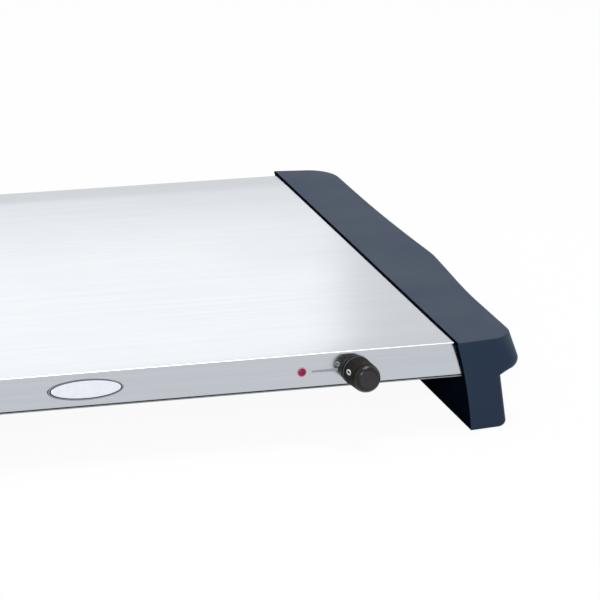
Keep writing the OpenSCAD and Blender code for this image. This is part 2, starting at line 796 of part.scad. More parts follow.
// Push-on connectors for the flat tabs
connector_l = 7;
connector_w = 7.6;
connector_h = 3;
module connector() {
    difference() {
        translate([-connector_w / 2, -connector_h / 2, 0]) cube([connector_w, connector_h, connector_l]);
        translate([-tab_w / 2 - run_fit, -tab_t / 2 - run_fit, -1])
            cube([tab_w + 2 * run_fit, tab_t + 2 * run_fit, 1 + connector_l - 2]);
    }
}
module tab_connectors() {
    color([0.75, 0.72, 0.6]) {
        on_front(knob_x, knob_s)
            for (x = [-tab_x, tab_x])
                translate([x, 0, -sheet_t - body_l - tab_l + connector_l - 2 - run_fit])
                    rotate([180, 0, 0]) connector();
        for (x = [-cutoff_tab_x, cutoff_tab_x])
            translate([cutoff_x + x, cutoff_y, spreader_under - 7 - tab_l + connector_l - 2 - run_fit])
                rotate([180, 0, 90]) connector();
    }
}

block_w = 34;
block_d = 16;
block_h = 14;
block_screw_r = 1.5;
module terminal_block() {
    poles = 3;
    pitch = block_w / poles;
    color([0.93, 0.92, 0.88])
    difference() {
        translate([block_x - block_w / 2, block_y - block_d / 2, pan_top])
            cube([block_w, block_d, block_h]);
        for (i = [0:poles - 1])
            translate([block_x + (i - 1) * pitch, block_y, pan_top + block_h - 6])
                cylinder(r = 2.4, h = 7);
        translate([block_x, block_y, pan_top - 1]) cylinder(r = block_screw_r + run_fit, h = 7);
    }
}

module block_screw() {
    color("lightsteelblue")
        translate([block_x, block_y, pan_under]) pan_head(block_screw_r, 6, 3, 1.6);
}

gland_r = 7;
gland_in = 12;
gland_out = 5;
module cord_gland() {
    color([0.1, 0.1, 0.1])
    on_back(gland_x, gland_s)
    difference() {
        union() {
            translate([0, 0, -gland_in]) cylinder(r = gland_r, h = gland_in + 1);
            cylinder(r = 9.2, h = 2.2);
            translate([0, 0, 2.2]) cylinder(r1 = 9.2, r2 = 6.4, h = gland_out - 2.2);
        }
        translate([0, 0, -gland_in - 1]) cylinder(r = gland_bore_r, h = gland_in + gland_out + 2);
    }
}

module gland_nut() {
    color([0.15, 0.15, 0.15])
    on_back(gland_x, gland_s) translate([0, 0, -sheet_t - 4])
        difference() {
            cylinder(r = 17 / sqrt(3), h = 4, $fn = 6);
            translate([0, 0, -1]) cylinder(r = gland_r + run_fit, h = 6);
        }
}

earth_screw_l = 9;
tag_t = 0.8;
tag_l = 16;
module earth_screw() {
    color("goldenrod")
    on_back(earth_x, gland_s) rotate([180, 0, 0]) {
        pan_head(screw_r, earth_screw_l, screw_head_r, pan_screw_head);
        translate([0, 0, sheet_t + tag_t])
            difference() {
                cylinder(r = 7 / sqrt(3), h = 3, $fn = 6);
                translate([0, 0, -1]) cylinder(r = screw_r - 0.2, h = 5);
            }
    }
}
module earth_tag() {
    color("silver")
    on_back(earth_x, gland_s) translate([0, 0, -sheet_t - tag_t])
        difference() {
            union() {
                cylinder(r = 4, h = tag_t);
                translate([0, -2.5, 0]) cube([tag_l, 5, tag_t]);
            }
            translate([0, 0, -1]) cylinder(r = screw_r + run_fit, h = tag_t + 2);
        }
}

// A lead: one tube through the given points, with its corners eased. Each ring of the tube is
// the last one slid along the stretch on to the next mitre plane, so the tube keeps its width.
lead_sides = 8;
function ring_across(at, d, r) =
    let (e = unit(abs(d[2]) < 0.9 ? cross([0, 0, 1], d) : cross([1, 0, 0], d)), f = cross(d, e))
    [for (i = [0:lead_sides - 1])
        at + r * (e * cos(i * 360 / lead_sides) + f * sin(i * 360 / lead_sides))];
function slid(ring, along, at, normal) =
    [for (p = ring) p + along * (((at - p) * normal) / (along * normal))];
function eased(points, cut, n = 3) =
    [points[0],
     for (i = [1:len(points) - 2])
        let (b = points[i], to_a = points[i - 1] - b, to_c = points[i + 1] - b,
             p = b + unit(to_a) * min(cut, norm(to_a) / 2.2),
             q = b + unit(to_c) * min(cut, norm(to_c) / 2.2))
        each [for (k = [0:n]) let (t = k / n) p * pow(1 - t, 2) + b * 2 * t * (1 - t) + q * t * t],
     points[len(points) - 1]];
function tube_rings(points, ring, i = 1) =
    let (d = unit(points[i] - points[i - 1]), end = i == len(points) - 1,
         next = end ? d : unit(points[i + 1] - points[i]),
         moved = slid(ring, d, points[i], d + next))
    end ? [ring, moved] : concat([ring], tube_rings(points, moved, i + 1));
module lead(route, r) {
    points = eased(route, 4 * r);
    skin(tube_rings(points, ring_across(points[0], unit(points[1] - points[0]), r)));
}

// Where each lead meets its connector, and where the leads run in the bays
tab_rear = -sheet_t - body_l - tab_l - 2 - run_fit;
cutoff_rear = spreader_under - 7 - tab_l - 2 - run_fit;
ferrule_seat = tail_end_y + ferrule_grip - ferrule_l + lead_seat;
ferrule_mouth = ferrule_seat - lead_seat - 5;
bay_live = field_x + 6;
bay_neutral = field_x + 11;
front_run_y = 36;
neutral_run_y = 41;
tail_run_y = 24;
low_z = pan_top + 1.9;
live_z = pan_top + 5;
earth_z = pan_top + 7;
neutral_z = pan_top + 9;
lamp_lead_r = 0.5;
lamp_pair = 0.9;
lamp_bottom = -12;

module lead_live() {
    x = knob_x + tab_x;
    y = block_y - 3;
    color([0.45, 0.25, 0.12])
        lead([[block_x + block_w / 2, y, live_z], [bay_live, y, live_z], [bay_live, front_run_y, live_z],
              [x, front_run_y, live_z], front_point(x, knob_s, tab_rear - 5),
              front_point(x, knob_s, tab_rear)], lead_r);
}

module lead_switched() {
    x = knob_x - tab_x;
    color([0.6, 0.1, 0.1])
        lead([front_point(x, knob_s, tab_rear), front_point(x, knob_s, tab_rear - 6),
              [x + 6, front_run_y + 2, element_z - 7], [tail_near_x, ferrule_mouth + 1, element_z - 5],
              [tail_near_x, ferrule_mouth, element_z], [tail_near_x, ferrule_seat, element_z]], lead_r);
}

module lead_neutral() {
    x = cutoff_x + cutoff_tab_x;
    y = block_y + 4;
    color([0.15, 0.3, 0.6])
        lead([[block_x + block_w / 2, y, neutral_z], [bay_neutral, y, neutral_z],
              [bay_neutral, neutral_run_y, neutral_z], [x + 8, neutral_run_y, live_z],
              [x, cutoff_y, low_z], [x, cutoff_y, cutoff_rear]], lead_r);
}

module lead_cutoff() {
    x = cutoff_x - cutoff_tab_x;
    color([0.15, 0.3, 0.6])
        lead([[x, cutoff_y, cutoff_rear], [x, cutoff_y, low_z + 1], [x + 2, tail_run_y, low_z],
              [tail_far_x, tail_run_y, low_z], [tail_far_x, ferrule_mouth, element_z],
              [tail_far_x, ferrule_seat, element_z]], lead_r);
}

// The two thin leads of the indicator: one to the thermostat, one to the cut-out
module lead_lamp() {
    rear = lamp_bottom - 8;
    side = knob_x - tab_x - connector_w / 2;
    end = cutoff_x + cutoff_tab_x + connector_h / 2;
    color([0.8, 0.8, 0.8]) {
        lead([front_point(lamp_x + lamp_pair, lamp_s, lamp_bottom),
              front_point(lamp_x + lamp_pair, lamp_s, rear), front_point(side - 6, knob_s, rear - 5),
              front_point(side, knob_s, rear - 5)], lamp_lead_r);
        lead([front_point(lamp_x - lamp_pair, lamp_s, lamp_bottom),
              front_point(lamp_x - lamp_pair, lamp_s, rear), [end + 9, cutoff_y, cutoff_rear + 3],
              [end, cutoff_y, cutoff_rear + 3]], lamp_lead_r);
    }
}

module lead_earth() {
    x = earth_x + tag_l - 3;
    color([0.3, 0.6, 0.2])
        lead([[block_x - block_w / 2, block_y + 3, earth_z], [x - 8, block_y + 3, earth_z],
              back_point(x, gland_s, -sheet_t - tag_t - 6), back_point(x, gland_s, -sheet_t - tag_t)],
             lead_r);
}

module placed() {
    translate([0, -origin_y, 0]) children();
}

placed() top_panel();
placed() base_pan();
placed() pan_screws();
placed() end_cap_right();
placed() end_cap_left();
placed() rubber_feet();
placed() cap_screws_right();
placed() cap_screws_left();
placed() heat_spreader();
placed() heating_element();
placed() element_bars();
placed() element_ferrules();
placed() insulation_pad();
placed() thermostat_body();
placed() thermostat_bushing();
placed() bushing_washer();
placed() bushing_nut();
placed() thermostat_tabs();
placed() thermostat_shaft();
placed() control_knob();
placed() knob_spring();
placed() indicator_lens();
placed() neon_lamp();
placed() lamp_clip();
placed() oval_badge();
placed() thermal_cutoff();
placed() cutoff_screws();
placed() tab_connectors();
placed() terminal_block();
placed() block_screw();
placed() cord_gland();
placed() gland_nut();
placed() earth_screw();
placed() earth_tag();
placed() lead_live();
placed() lead_switched();
placed() lead_neutral();
placed() lead_cutoff();
placed() lead_lamp();
placed() lead_earth();
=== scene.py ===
import math

import bmesh
import bpy
from mathutils import Matrix, Vector


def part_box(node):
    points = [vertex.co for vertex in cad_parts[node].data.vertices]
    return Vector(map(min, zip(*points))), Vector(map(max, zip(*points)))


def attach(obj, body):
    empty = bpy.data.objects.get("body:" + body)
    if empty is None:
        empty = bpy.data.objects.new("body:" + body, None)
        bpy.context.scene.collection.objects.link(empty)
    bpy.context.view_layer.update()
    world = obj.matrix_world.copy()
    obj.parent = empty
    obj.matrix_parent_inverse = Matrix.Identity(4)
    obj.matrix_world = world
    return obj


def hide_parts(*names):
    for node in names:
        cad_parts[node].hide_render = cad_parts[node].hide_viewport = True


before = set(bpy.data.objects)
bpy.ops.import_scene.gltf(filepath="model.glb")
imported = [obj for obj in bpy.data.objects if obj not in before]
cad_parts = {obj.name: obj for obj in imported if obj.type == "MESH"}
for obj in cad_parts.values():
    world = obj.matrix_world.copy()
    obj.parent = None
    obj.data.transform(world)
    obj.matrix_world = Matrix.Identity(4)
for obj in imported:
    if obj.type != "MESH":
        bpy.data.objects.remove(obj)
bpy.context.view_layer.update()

mm = 0.001
weldDistance = 1e-7
sliverDistance = 1e-8
print("frame loaded:", len(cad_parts), "nodes")

# The steel's own places, read from the frame; everything else is set out from them
panelLow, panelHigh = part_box("top_panel")
steel = {
    "thickness": 1.0 * mm,
    "foldRadius": 0.8 * mm,        # inside of each bend
    "lean": math.radians(4.5),     # aprons, out at the bottom
    "slope": 24.3 * mm,            # apron, down its slope
    "lip": 11 * mm,                # flange turned in at the foot
    "endFlange": 20 * mm,
    "endFlangeInset": 3 * mm,
    "tuck": 6 * mm,                # how far it goes in under each cap
    "foldSteps": 8,
    "longestStep": 30 * mm,        # longest edge across the section
    "columns": 25,
    "shadeAngle": 30,
}
steelTop = panelHigh.z
kick = steel["slope"] * math.sin(steel["lean"])
frontFold = panelLow.y + kick
backFold = panelHigh.y - kick
depth = backFold - frontFold
halfSteel = panelHigh.x - steel["tuck"]
panTop = steelTop - steel["slope"] * math.cos(steel["lean"])


# Small tools for meshes
def lerp(a, b, t):
    return a + (b - a) * t


def roundCorner(a, b, c, radius, steps):
    # points of the arc that replaces corner b of the path a-b-c
    toA, toC = (a - b).normalized(), (c - b).normalized()
    half = math.acos(max(-1, min(1, toA.dot(toC)))) / 2
    middle = b + (toA + toC).normalized() * radius / math.sin(half)
    start = b + toA * radius / math.tan(half) - middle
    end = b + toC * radius / math.tan(half) - middle
    turn = (math.pi - 2 * half) * (1 if start.x * end.y - start.y * end.x > 0 else -1)
    angle = math.atan2(start.y, start.x)
    arc = [angle + turn * i / steps for i in range(steps + 1)]
    return [middle + radius * Vector((math.cos(t), math.sin(t))) for t in arc]


def meshFrom(name, points, faces):
    mesh = bpy.data.meshes.new(name)
    mesh.from_pydata([tuple(p) for p in points], [], faces)
    bm = bmesh.new()
    bm.from_mesh(mesh)
    bmesh.ops.remove_doubles(bm, verts=bm.verts, dist=weldDistance)
    bmesh.ops.recalc_face_normals(bm, faces=bm.faces)
    bm.to_mesh(mesh)
    bm.free()
    return mesh


def loftFaces(ringCount, pointCount, caps=True):
    # quads between neighbouring closed rings, and one face over each end
    faces = []
    for i in range(ringCount - 1):
        near, far = i * pointCount, (i + 1) * pointCount
        for j in range(pointCount):
            k = (j + 1) % pointCount
            faces.append((near + j, near + k, far + k, far + j))
    if caps:
        faces.append(tuple(range(pointCount)))
        faces.append(tuple((ringCount - 1) * pointCount + j for j in reversed(range(pointCount))))
    return faces


def lofted(name, rings):
    return meshFrom(name, [p for ring in rings for p in ring], loftFaces(len(rings), len(rings[0])))


def lathed(name, profile, steps, shape=None):
    # profile is (radius, height) pairs that start and end on the axis
    # shape(angle, radius, height) may change the radius
    points = []
    for i in range(steps):
        angle = 2 * math.pi * i / steps
        for radius, height in profile:
            r = shape(angle, radius, height) if shape else radius
            points.append((r * math.cos(angle), r * math.sin(angle), height))
    n = len(profile)
    faces = []
    for i in range(steps):
        k = (i + 1) % steps
        faces += [(i * n + j, k * n + j, k * n + j + 1, i * n + j + 1) for j in range(n - 1)]
    mesh = meshFrom(name, points, faces)
    bm = bmesh.new()
    bm.from_mesh(mesh)
    bmesh.ops.dissolve_degenerate(bm, dist=sliverDistance, edges=bm.edges)
    bm.to_mesh(mesh)
    bm.free()
    return mesh


def shadeByAngle(mesh, degrees):
    # smooth shading, kept sharp where two faces turn by more than this
    bm = bmesh.new()
    bm.from_mesh(mesh)
    for face in bm.faces:
        face.smooth = True
    for edge in bm.edges:
        edge.smooth = len(edge.link_faces) == 2 and edge.calc_face_angle(0) < math.radians(degrees)
    bm.to_mesh(mesh)
    bm.free()
    return mesh


def newObject(name, data, place=None):
    obj = bpy.data.objects.new(name, data)
    bpy.context.scene.collection.objects.link(obj)
    if place:
        data.transform(place)
    return obj


def joined(name, meshes):
    bm = bmesh.new()
    for mesh in meshes:
        bm.from_mesh(mesh)
    result = bpy.data.meshes.new(name)
    bm.to_mesh(result)
    bm.free()
    return result


def evaluatedMesh(obj):
    # the object as a mesh, with its modifier applied or its letters filled
    bpy.context.view_layer.update()
    return bpy.data.meshes.new_from_object(obj.evaluated_get(bpy.context.evaluated_depsgraph_get()))


def carve(target, cutter):
    # takes the cutter out of the target and throws it away; the carved faces take the painted shade finish
    for mesh in (target.data, cutter.data):
        while len(mesh.materials) < 2:
            mesh.materials.append((slateFinish, paintedShadeFinish)[len(mesh.materials)])
    for face in cutter.data.polygons:
        face.material_index = 1
    step = target.modifiers.new("carve", "BOOLEAN")
    step.operation = "DIFFERENCE"
    step.solver = "EXACT"
    step.object = cutter
    result = evaluatedMesh(target)
    target.modifiers.clear()
    target.data = result
    bpy.data.objects.remove(cutter)


def blockMesh(name, low, high):
    points = [(x, y, z) for z in (low[2], high[2]) for x, y in
              ((low[0], low[1]), (high[0], low[1]), (high[0], high[1]), (low[0], high[1]))]
    return lofted(name, [points[:4], points[4:]])


def mirrored(mesh, name):
    copy = mesh.copy()
    copy.name = name
    copy.transform(Matrix.Scale(-1, 4, (1, 0, 0)))
    copy.flip_normals()
    return copy


def dress(obj, material, body="tray", replaces=()):
    if material:
        obj.data.materials.clear()
        obj.data.materials.append(material)
    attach(obj, body)
    if replaces:
        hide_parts(*replaces)
    return obj


# A place on the front apron: x across, s down the slope, with z along the outward normal
def onFront(x, s):
    lean = steel["lean"]
    at = Vector((x, frontFold - s * math.sin(lean), steelTop - s * math.cos(lean)))
    return Matrix.Translation(at) @ Matrix.Rotation(math.pi / 2 - lean, 4, "X")


# Finishes

# the middle of a noise's range, which spread() stretches
noiseMiddle = (0.3, 0.7)


class Finish:
    # one node material, with short calls for the nodes that the finishes share
    def __init__(self, name, **settings):
        self.material = bpy.data.materials.new(name)
        self.material.use_nodes = True
        self.nodes = self.material.node_tree.nodes
        self.links = self.material.node_tree.links
        self.shader = self.nodes["Principled BSDF"]
        self.place = self.nodes.new("ShaderNodeTexCoord")
        for socket, value in settings.items():
            self.shader.inputs[socket.replace("_", " ")].default_value = value

    def texture(self, kind, scale, stretch=(1, 1, 1)):
        mapping = self.nodes.new("ShaderNodeMapping")
        mapping.inputs["Scale"].default_value = stretch
        self.links.new(self.place.outputs["Object"], mapping.inputs["Vector"])
        node = self.nodes.new(kind)
        node.inputs["Scale"].default_value = scale
        self.links.new(mapping.outputs["Vector"], node.inputs["Vector"])
        return node

    def noise(self, scale, detail=3.0, roughness=0.55, stretch=(1, 1, 1)):
        node = self.texture("ShaderNodeTexNoise", scale, stretch)
        node.inputs["Detail"].default_value = detail
        node.inputs["Roughness"].default_value = roughness
        return node.outputs["Fac"]

    def cells(self, scale):
        return self.texture("ShaderNodeTexVoronoi", scale).outputs["Distance"]

    def spread(self, value, low, high):
        node = self.nodes.new("ShaderNodeMapRange")
        node.inputs["From Min"].default_value = noiseMiddle[0]
        node.inputs["From Max"].default_value = noiseMiddle[1]
        node.inputs["To Min"].default_value = low
        node.inputs["To Max"].default_value = high
        self.links.new(value, node.inputs["Value"])
        return node.outputs["Result"]

    def added(self, a, b):
        node = self.nodes.new("ShaderNodeMath")
        node.operation = "ADD"
        self.links.new(a, node.inputs[0])
        self.links.new(b, node.inputs[1])
        return node.outputs[0]

    def mottle(self, value, dark, light):
        # a base colour that wanders between two tones
        node = self.nodes.new("ShaderNodeMix")
        node.data_type = "RGBA"
        self.links.new(self.spread(value, 0, 1), node.inputs["Factor"])
        node.inputs["A"].default_value = (*dark, 1)
        node.inputs["B"].default_value = (*light, 1)
        self.links.new(node.outputs["Result"], self.shader.inputs["Base Color"])

    def rough(self, value):
        self.links.new(value, self.shader.inputs["Roughness"])

    def bump(self, height, distance, strength):
        # a later bump is laid over the earlier one
        node = self.nodes.new("ShaderNodeBump")
        node.inputs["Strength"].default_value = strength
        node.inputs["Distance"].default_value = distance
        self.links.new(height, node.inputs["Height"])
        last = self.shader.inputs["Normal"]
        if last.is_linked:
            self.links.new(last.links[0].from_socket, node.inputs["Normal"])
        self.links.new(node.outputs["Normal"], last)


def brushedSteel():
    finish = Finish("brushedSteel", Metallic=1.0, Anisotropic=0.35)
    grain = finish.noise(1, detail=4, roughness=0.65, stretch=(14, 2600, 2600))
    bands = finish.noise(1, detail=3, roughness=0.6, stretch=(5, 420, 420))
    smudges = finish.noise(9, detail=3, roughness=0.5)
    finish.mottle(bands, dark=(0.510, 0.537, 0.578), light=(0.540, 0.566, 0.606))
    streaks = finish.spread(grain, low=-0.03, high=0.03)
    handled = finish.spread(smudges, low=0.12, high=0.165)
    finish.rough(finish.added(streaks, handled))
    finish.bump(grain, distance=0.005 * mm, strength=0.5)
    waves = finish.noise(4, detail=1, roughness=0.4)          # the sheet isn't dead flat
    finish.bump(waves, distance=0.20 * mm, strength=0.5)
    tangent = finish.nodes.new("ShaderNodeTangent")
    tangent.direction_type = "UV_MAP"
    tangent.uv_map = "grain"
    finish.links.new(tangent.outputs["Tangent"], finish.shader.inputs["Tangent"])
    return finish.material


def slatePlastic():
    finish = Finish("slatePlastic", Specular_IOR_Level=0.22)
    clouds = finish.noise(14)
    finish.mottle(clouds, dark=(0.0072, 0.0218, 0.049), light=(0.0094, 0.0252, 0.056))
    finish.rough(finish.spread(clouds, low=0.46, high=0.56))
    finish.bump(finish.cells(2400), distance=0.035 * mm, strength=0.6)
    finish.bump(finish.noise(700, detail=2), distance=0.03 * mm, strength=0.5)
    return finish.material


def innerMoulding():
    # near-black and without sheen: painted shade on the side of the moulding under the tray and inside the
    # hollow
    finish = Finish("innerMoulding", Specular_IOR_Level=0.0)
    clouds = finish.noise(30, roughness=0.6)
    finish.mottle(clouds, dark=(0.0015, 0.004, 0.008), light=(0.0025, 0.006, 0.012))
    finish.rough(finish.spread(clouds, low=0.75, high=0.9))
    finish.bump(finish.cells(1500), distance=0.06 * mm, strength=0.6)
    return finish.material


def plainMoulded(name, colour, rough=0.5, grain=0.03 * mm, scale=1500, specular=0.4):
    finish = Finish(name, Specular_IOR_Level=specular)
    clouds = finish.noise(60)
    darker = tuple(c * 0.86 for c in colour)
    finish.mottle(clouds, darker, colour)
    finish.rough(finish.spread(clouds, low=rough - 0.05, high=rough + 0.06))
    finish.bump(finish.noise(scale), distance=grain, strength=0.6)
    return finish.material


def platedMetal(name, colour, rough=0.3, stretch=(1, 1, 1), mottle=0.18):
    finish = Finish(name, Metallic=1.0)
    spangle = finish.noise(180, roughness=0.6)
    darker = tuple(c * (1 - mottle) for c in colour)
    finish.mottle(spangle, darker, colour)
    finish.rough(finish.spread(spangle, low=rough - 0.06, high=rough + 0.08))
    grain = finish.noise(900, roughness=0.6, stretch=stretch)
    finish.bump(grain, distance=0.01 * mm, strength=0.4)
    return finish.material


steelFinish = brushedSteel()
slateFinish = slatePlastic()
paintedShadeFinish = innerMoulding()
panFinish = platedMetal("zincSheet", (0.30, 0.31, 0.33), rough=0.42)
screwFinish = platedMetal("zincScrew", (0.56, 0.57, 0.60), rough=0.28)
brassFinish = platedMetal("brassPlate", (0.62, 0.45, 0.20))
aluminiumFinish = platedMetal("aluminiumSheet", (0.72, 0.73, 0.74), rough=0.4, stretch=(1, 40, 1))
elementFinish = platedMetal("heatedSteel", (0.24, 0.20, 0.17), rough=0.5)
rubberFinish = plainMoulded("footRubber", (0.018, 0.018, 0.018),
                            rough=0.75, grain=0.05 * mm, scale=1200, specular=0.25)
glandFinish = plainMoulded("glandBlack", (0.016, 0.016, 0.016))
print("materials made")


# The warming surface is one folded sheet

def foldedSheet(path, thickness, bend, steps):
    # closed outline of a bent sheet from the path of its outer face, material to the right of the path
    def normal(a, b):
        d = (b - a).normalized()
        return Vector((d.y, -d.x))

    inner = []
    for i, p in enumerate(path):
        before = normal(path[max(i, 1) - 1], path[max(i, 1)])
        after = normal(path[min(i, len(path) - 2)], path[min(i, len(path) - 2) + 1])
        inner.append(p + thickness * (before + after) / (1 + before.dot(after)))

    def rounded(points, right, left):
        result = [points[0]]
        for a, b, c in zip(points, points[1:], points[2:]):
            turn = (b - a).x * (c - b).y - (b - a).y * (c - b).x
            result += roundCorner(a, b, c, right if turn < 0 else left, steps)
        return result + [points[-1]]

    outer = rounded(path, bend + thickness, bend)
    return outer, list(reversed(rounded(inner, bend, bend + thickness)))


def divided(points, longest):
    result = [points[0]]
    for a, b in zip(points, points[1:]):
        pieces = max(1, math.ceil((b - a).length / longest))
        result += [lerp(a, b, i / pieces) for i in range(1, pieces + 1)]
    return result


def warmingSurface():
    end = halfSteel + steel["tuck"]
    path = [Vector(p) for p in (
        (frontFold - kick + steel["lip"], panTop), (frontFold - kick, panTop), (frontFold, steelTop),
        (backFold, steelTop), (backFold + kick, panTop), (backFold + kick - steel["lip"], panTop))]
    outer, inner = foldedSheet(path, steel["thickness"], steel["foldRadius"], steel["foldSteps"])
    longest, columns = steel["longestStep"], steel["columns"]
    section = divided(outer, longest) + divided(inner, longest)
    rings = [[(lerp(-end, end, i / (columns - 1)), p.x, p.y) for p in section] for i in range(columns)]
    mesh = lofted("warmingSurface", rings)
    inset, thickness = steel["endFlangeInset"], steel["thickness"]
    flange = blockMesh("endFlange", (end - thickness, frontFold + inset, steelTop - steel["endFlange"]),
                       (end, backFold - inset, steelTop - thickness))
    mesh = joined("warmingSurface", [mesh, flange, mirrored(flange, "endFlangeLeft")])
    shadeByAngle(mesh, steel["shadeAngle"])
    layer = mesh.uv_layers.new(name="grain")
    for face in mesh.polygons:
        for loop in face.loop_indices:
            p = mesh.vertices[mesh.loops[loop].vertex_index].co
            layer.data[loop].uv = (p.x, p.y - p.z)
    return newObject("warmingSurface", mesh)


dress(warmingSurface(), steelFinish, replaces=["top_panel"])
print("warming surface folded")


# Each end cap is a lofted shell with a leg, a grip and a hollow underside

cap = {
    "lipHeight": 1.5 * mm,       # top of the cap above the steel
    "wall": 2.8 * mm,
    "proud": 7.0 * mm,           # past the steel, front and back, at the inner edge
    "slant": 0.13,               # lost for each millimetre outward
    "innerRun": 13.6 * mm,       # inner edge, from the steel down to the table
    "innerCurve": 7.2 * mm,
    "legOutFloor": 42.6 * mm,
    "legLean": 0.175,
    "gripUnder": 39.2 * mm,
    "noseU": 45.1 * mm,          # centre of the rounding at the grip's lower edge
    "noseZ": 48.1 * mm,
    "noseRadius": 5.7 * mm,
    "sideLean": math.radians(16.5),
    "sideTaper": 1.3 * mm,       # how much farther out the side stands in front
    "noseCorner": 14 * mm,       # corners in plan, low and high
    "topCorner": 22.5 * mm,
    "legCorner": 4 * mm,
    "footRound": 3.5 * mm,
    "footProud": 0.8 * mm,
    "frontEdge": 0.9 * mm,       # softening of the top at the front, back and inner edges
    "sideEdge": 1.5 * mm,        # softening of the top at the outer edge
    "bulge": 5.9 * mm,
    "bulgeAt": 0.468,            # peak and reach of the swell, as shares of the depth
    "bulgeFront": 0.273,
    "bulgeBack": 0.416,
    "bulgeEase": 1.3,
    "crown": 0.2 * mm,
    "crownFade": 12,             # rows over which the crown fades at each end
    "cornerSteps": 14,
    "sideSteps": 44,
    "endSteps": 8,
    "footSteps": 8,
    "legSteps": 12,
    "noseFrom": math.radians(-78),
    "noseSteps": 14,
    "leanSteps": 5,
    "edgeSteps": 12,
    "shadeAngle": 30,
    "shadedFacing": -0.35,        # a face whose normal's x is below this takes the painted shade finish
}
capTop = steelTop + cap["lipHeight"]
noseEnd = (cap["noseU"] + cap["noseRadius"] * math.cos(cap["sideLean"]),
           cap["noseZ"] + cap["noseRadius"] * math.sin(cap["sideLean"]))


def proudAt(u):
    return cap["proud"] - cap["slant"] * max(u, 0)


def legOut(z):
    return cap["legOutFloor"] - cap["legLean"] * z


def innerEdge(z):
    s = max(0, 1 - z / steelTop)
    return cap["innerRun"] * s + cap["innerCurve"] * s * (1 - s)


def sideOut(z):
    return noseEnd[0] - (z - noseEnd[1]) * math.tan(cap["sideLean"])


def cornerAt(z):
    t = (z - noseEnd[1]) / (capTop - cap["sideEdge"] - noseEnd[1])
    return lerp(cap["noseCorner"], cap["topCorner"], max(0, min(1, t)))


def swell(y):
    ahead = y < cap["bulgeAt"] * depth
    t = min(1, abs(y / depth - cap["bulgeAt"]) / (cap["bulgeFront"] if ahead else cap["bulgeBack"]))
    return cap["bulge"] * (1 - t) ** 2 * (1 + (cap["bulgeEase"] * t if ahead else 0))


def soften(z, radius):
    down = max(0, min(radius, z - capTop + radius))
    return radius - math.sqrt(radius ** 2 - down ** 2)


def capRing(z, uIn, uOut, inset, radius, swellBy):
    # u runs outward from the end of the bare steel, y back from the front fold
    # swellBy is 1 on the grip, which swells and tapers, and 0 on the leg
    a = Vector((uIn, inset - proudAt(uIn)))
    b = Vector((uOut + swellBy * cap["sideTaper"], inset - proudAt(uOut)))
    c = Vector((uOut, depth - b.y))
    d = Vector((uIn, depth - a.y))
    front = roundCorner(a, b, c, radius, cap["cornerSteps"])
    back = roundCorner(b, c, d, radius, cap["cornerSteps"])
    count = cap["sideSteps"]
    stations = [lerp(front[-1], back[0], i / count) for i in range(1, count)]
    outer = front + [p + Vector((swellBy * swell(p.y), 0)) for p in stations] + back
    ends = cap["endSteps"]
    ring = [lerp(a, outer[0], i / ends) for i in range(ends)] + outer
    ring += [lerp(outer[-1], d, i / ends) for i in range(1, ends + 1)]
    span = outer[-1].y - outer[0].y
    ring += [lerp(a, d, (p.y - outer[0].y) / span) for p in reversed(outer[1:-1])]
    return [Vector((halfSteel + p.x, frontFold + p.y, z)) for p in ring]


def capSkin():
    base = cap["footProud"] + cap["footRound"]
    quarter = math.pi / 2
    rings = []
    for i in range(cap["footSteps"] + 1):                 # rounded foot
        a = quarter * i / cap["footSteps"]
        z = base - cap["footRound"] * math.cos(a)
        uOut = legOut(base) - cap["footRound"] * (1 - math.sin(a))
        rings.append(capRing(z, innerEdge(z), uOut, 0, cap["legCorner"], 0))
    for i in range(1, cap["legSteps"] + 1):               # leg
        z = lerp(base, cap["gripUnder"], i / cap["legSteps"])
        rings.append(capRing(z, innerEdge(z), legOut(z), 0, cap["legCorner"], 0))
    for i in range(cap["noseSteps"] + 1):                 # rounded lower edge of the grip
        a = lerp(cap["noseFrom"], cap["sideLean"], i / cap["noseSteps"])
        z = cap["noseZ"] + cap["noseRadius"] * math.sin(a)
        uOut = cap["noseU"] + cap["noseRadius"] * math.cos(a)
        rings.append(capRing(z, innerEdge(z), uOut, 0, cap["noseCorner"], 1))
    for i in range(1, cap["leanSteps"]):                  # leaning side
        z = lerp(noseEnd[1], capTop - cap["sideEdge"], i / cap["leanSteps"])
        rings.append(capRing(z, innerEdge(z), sideOut(z), 0, cornerAt(z), 1))
    for i in range(cap["edgeSteps"] + 1):                 # soft top edge
        z = capTop - cap["sideEdge"] * (1 - math.sin(quarter * i / cap["edgeSteps"]))
        side = soften(z, cap["sideEdge"])
        inset = soften(z, cap["frontEdge"])
        rings.append(capRing(z, innerEdge(z) + inset, sideOut(z) - side, inset, cornerAt(z) - side, 1))
    points = [p for ring in rings for p in ring]
    count = len(rings[0])
    faces = loftFaces(len(rings), count, caps=False) + [tuple(range(count))]

    # the top, as rows from the inner edge to the outer edge, very slightly crowned
    first = (len(rings) - 1) * count
    ends, rows = cap["endSteps"], 2 * (cap["cornerSteps"] + 1) + cap["sideSteps"] - 1
    fade = cap["crownFade"]
    across = []
    for j in range(rows):
        outer = first + ends + j
        inner = first + (count - j) % count if j < rows - 1 else first + 2 * ends + rows - 1
        if j == 0:
            across.append([first + i for i in range(ends + 1)])
        elif j == rows - 1:
            across.append([inner - i for i in range(ends + 1)])
        else:
            row = [inner]
            for i in range(1, ends):
                p = lerp(points[inner], points[outer], i / ends)
                rise = cap["crown"] * math.sin(math.pi * i / ends) * min(1, j / fade, (rows - 1 - j) / fade)
                row.append(len(points))
                points.append(p + Vector((0, 0, rise)))
            across.append(row + [outer])
    for near, far in zip(across, across[1:]):
        faces += [(near[i], near[i + 1], far[i + 1], far[i]) for i in range(ends)]
    return meshFrom("capSkin", points, faces)


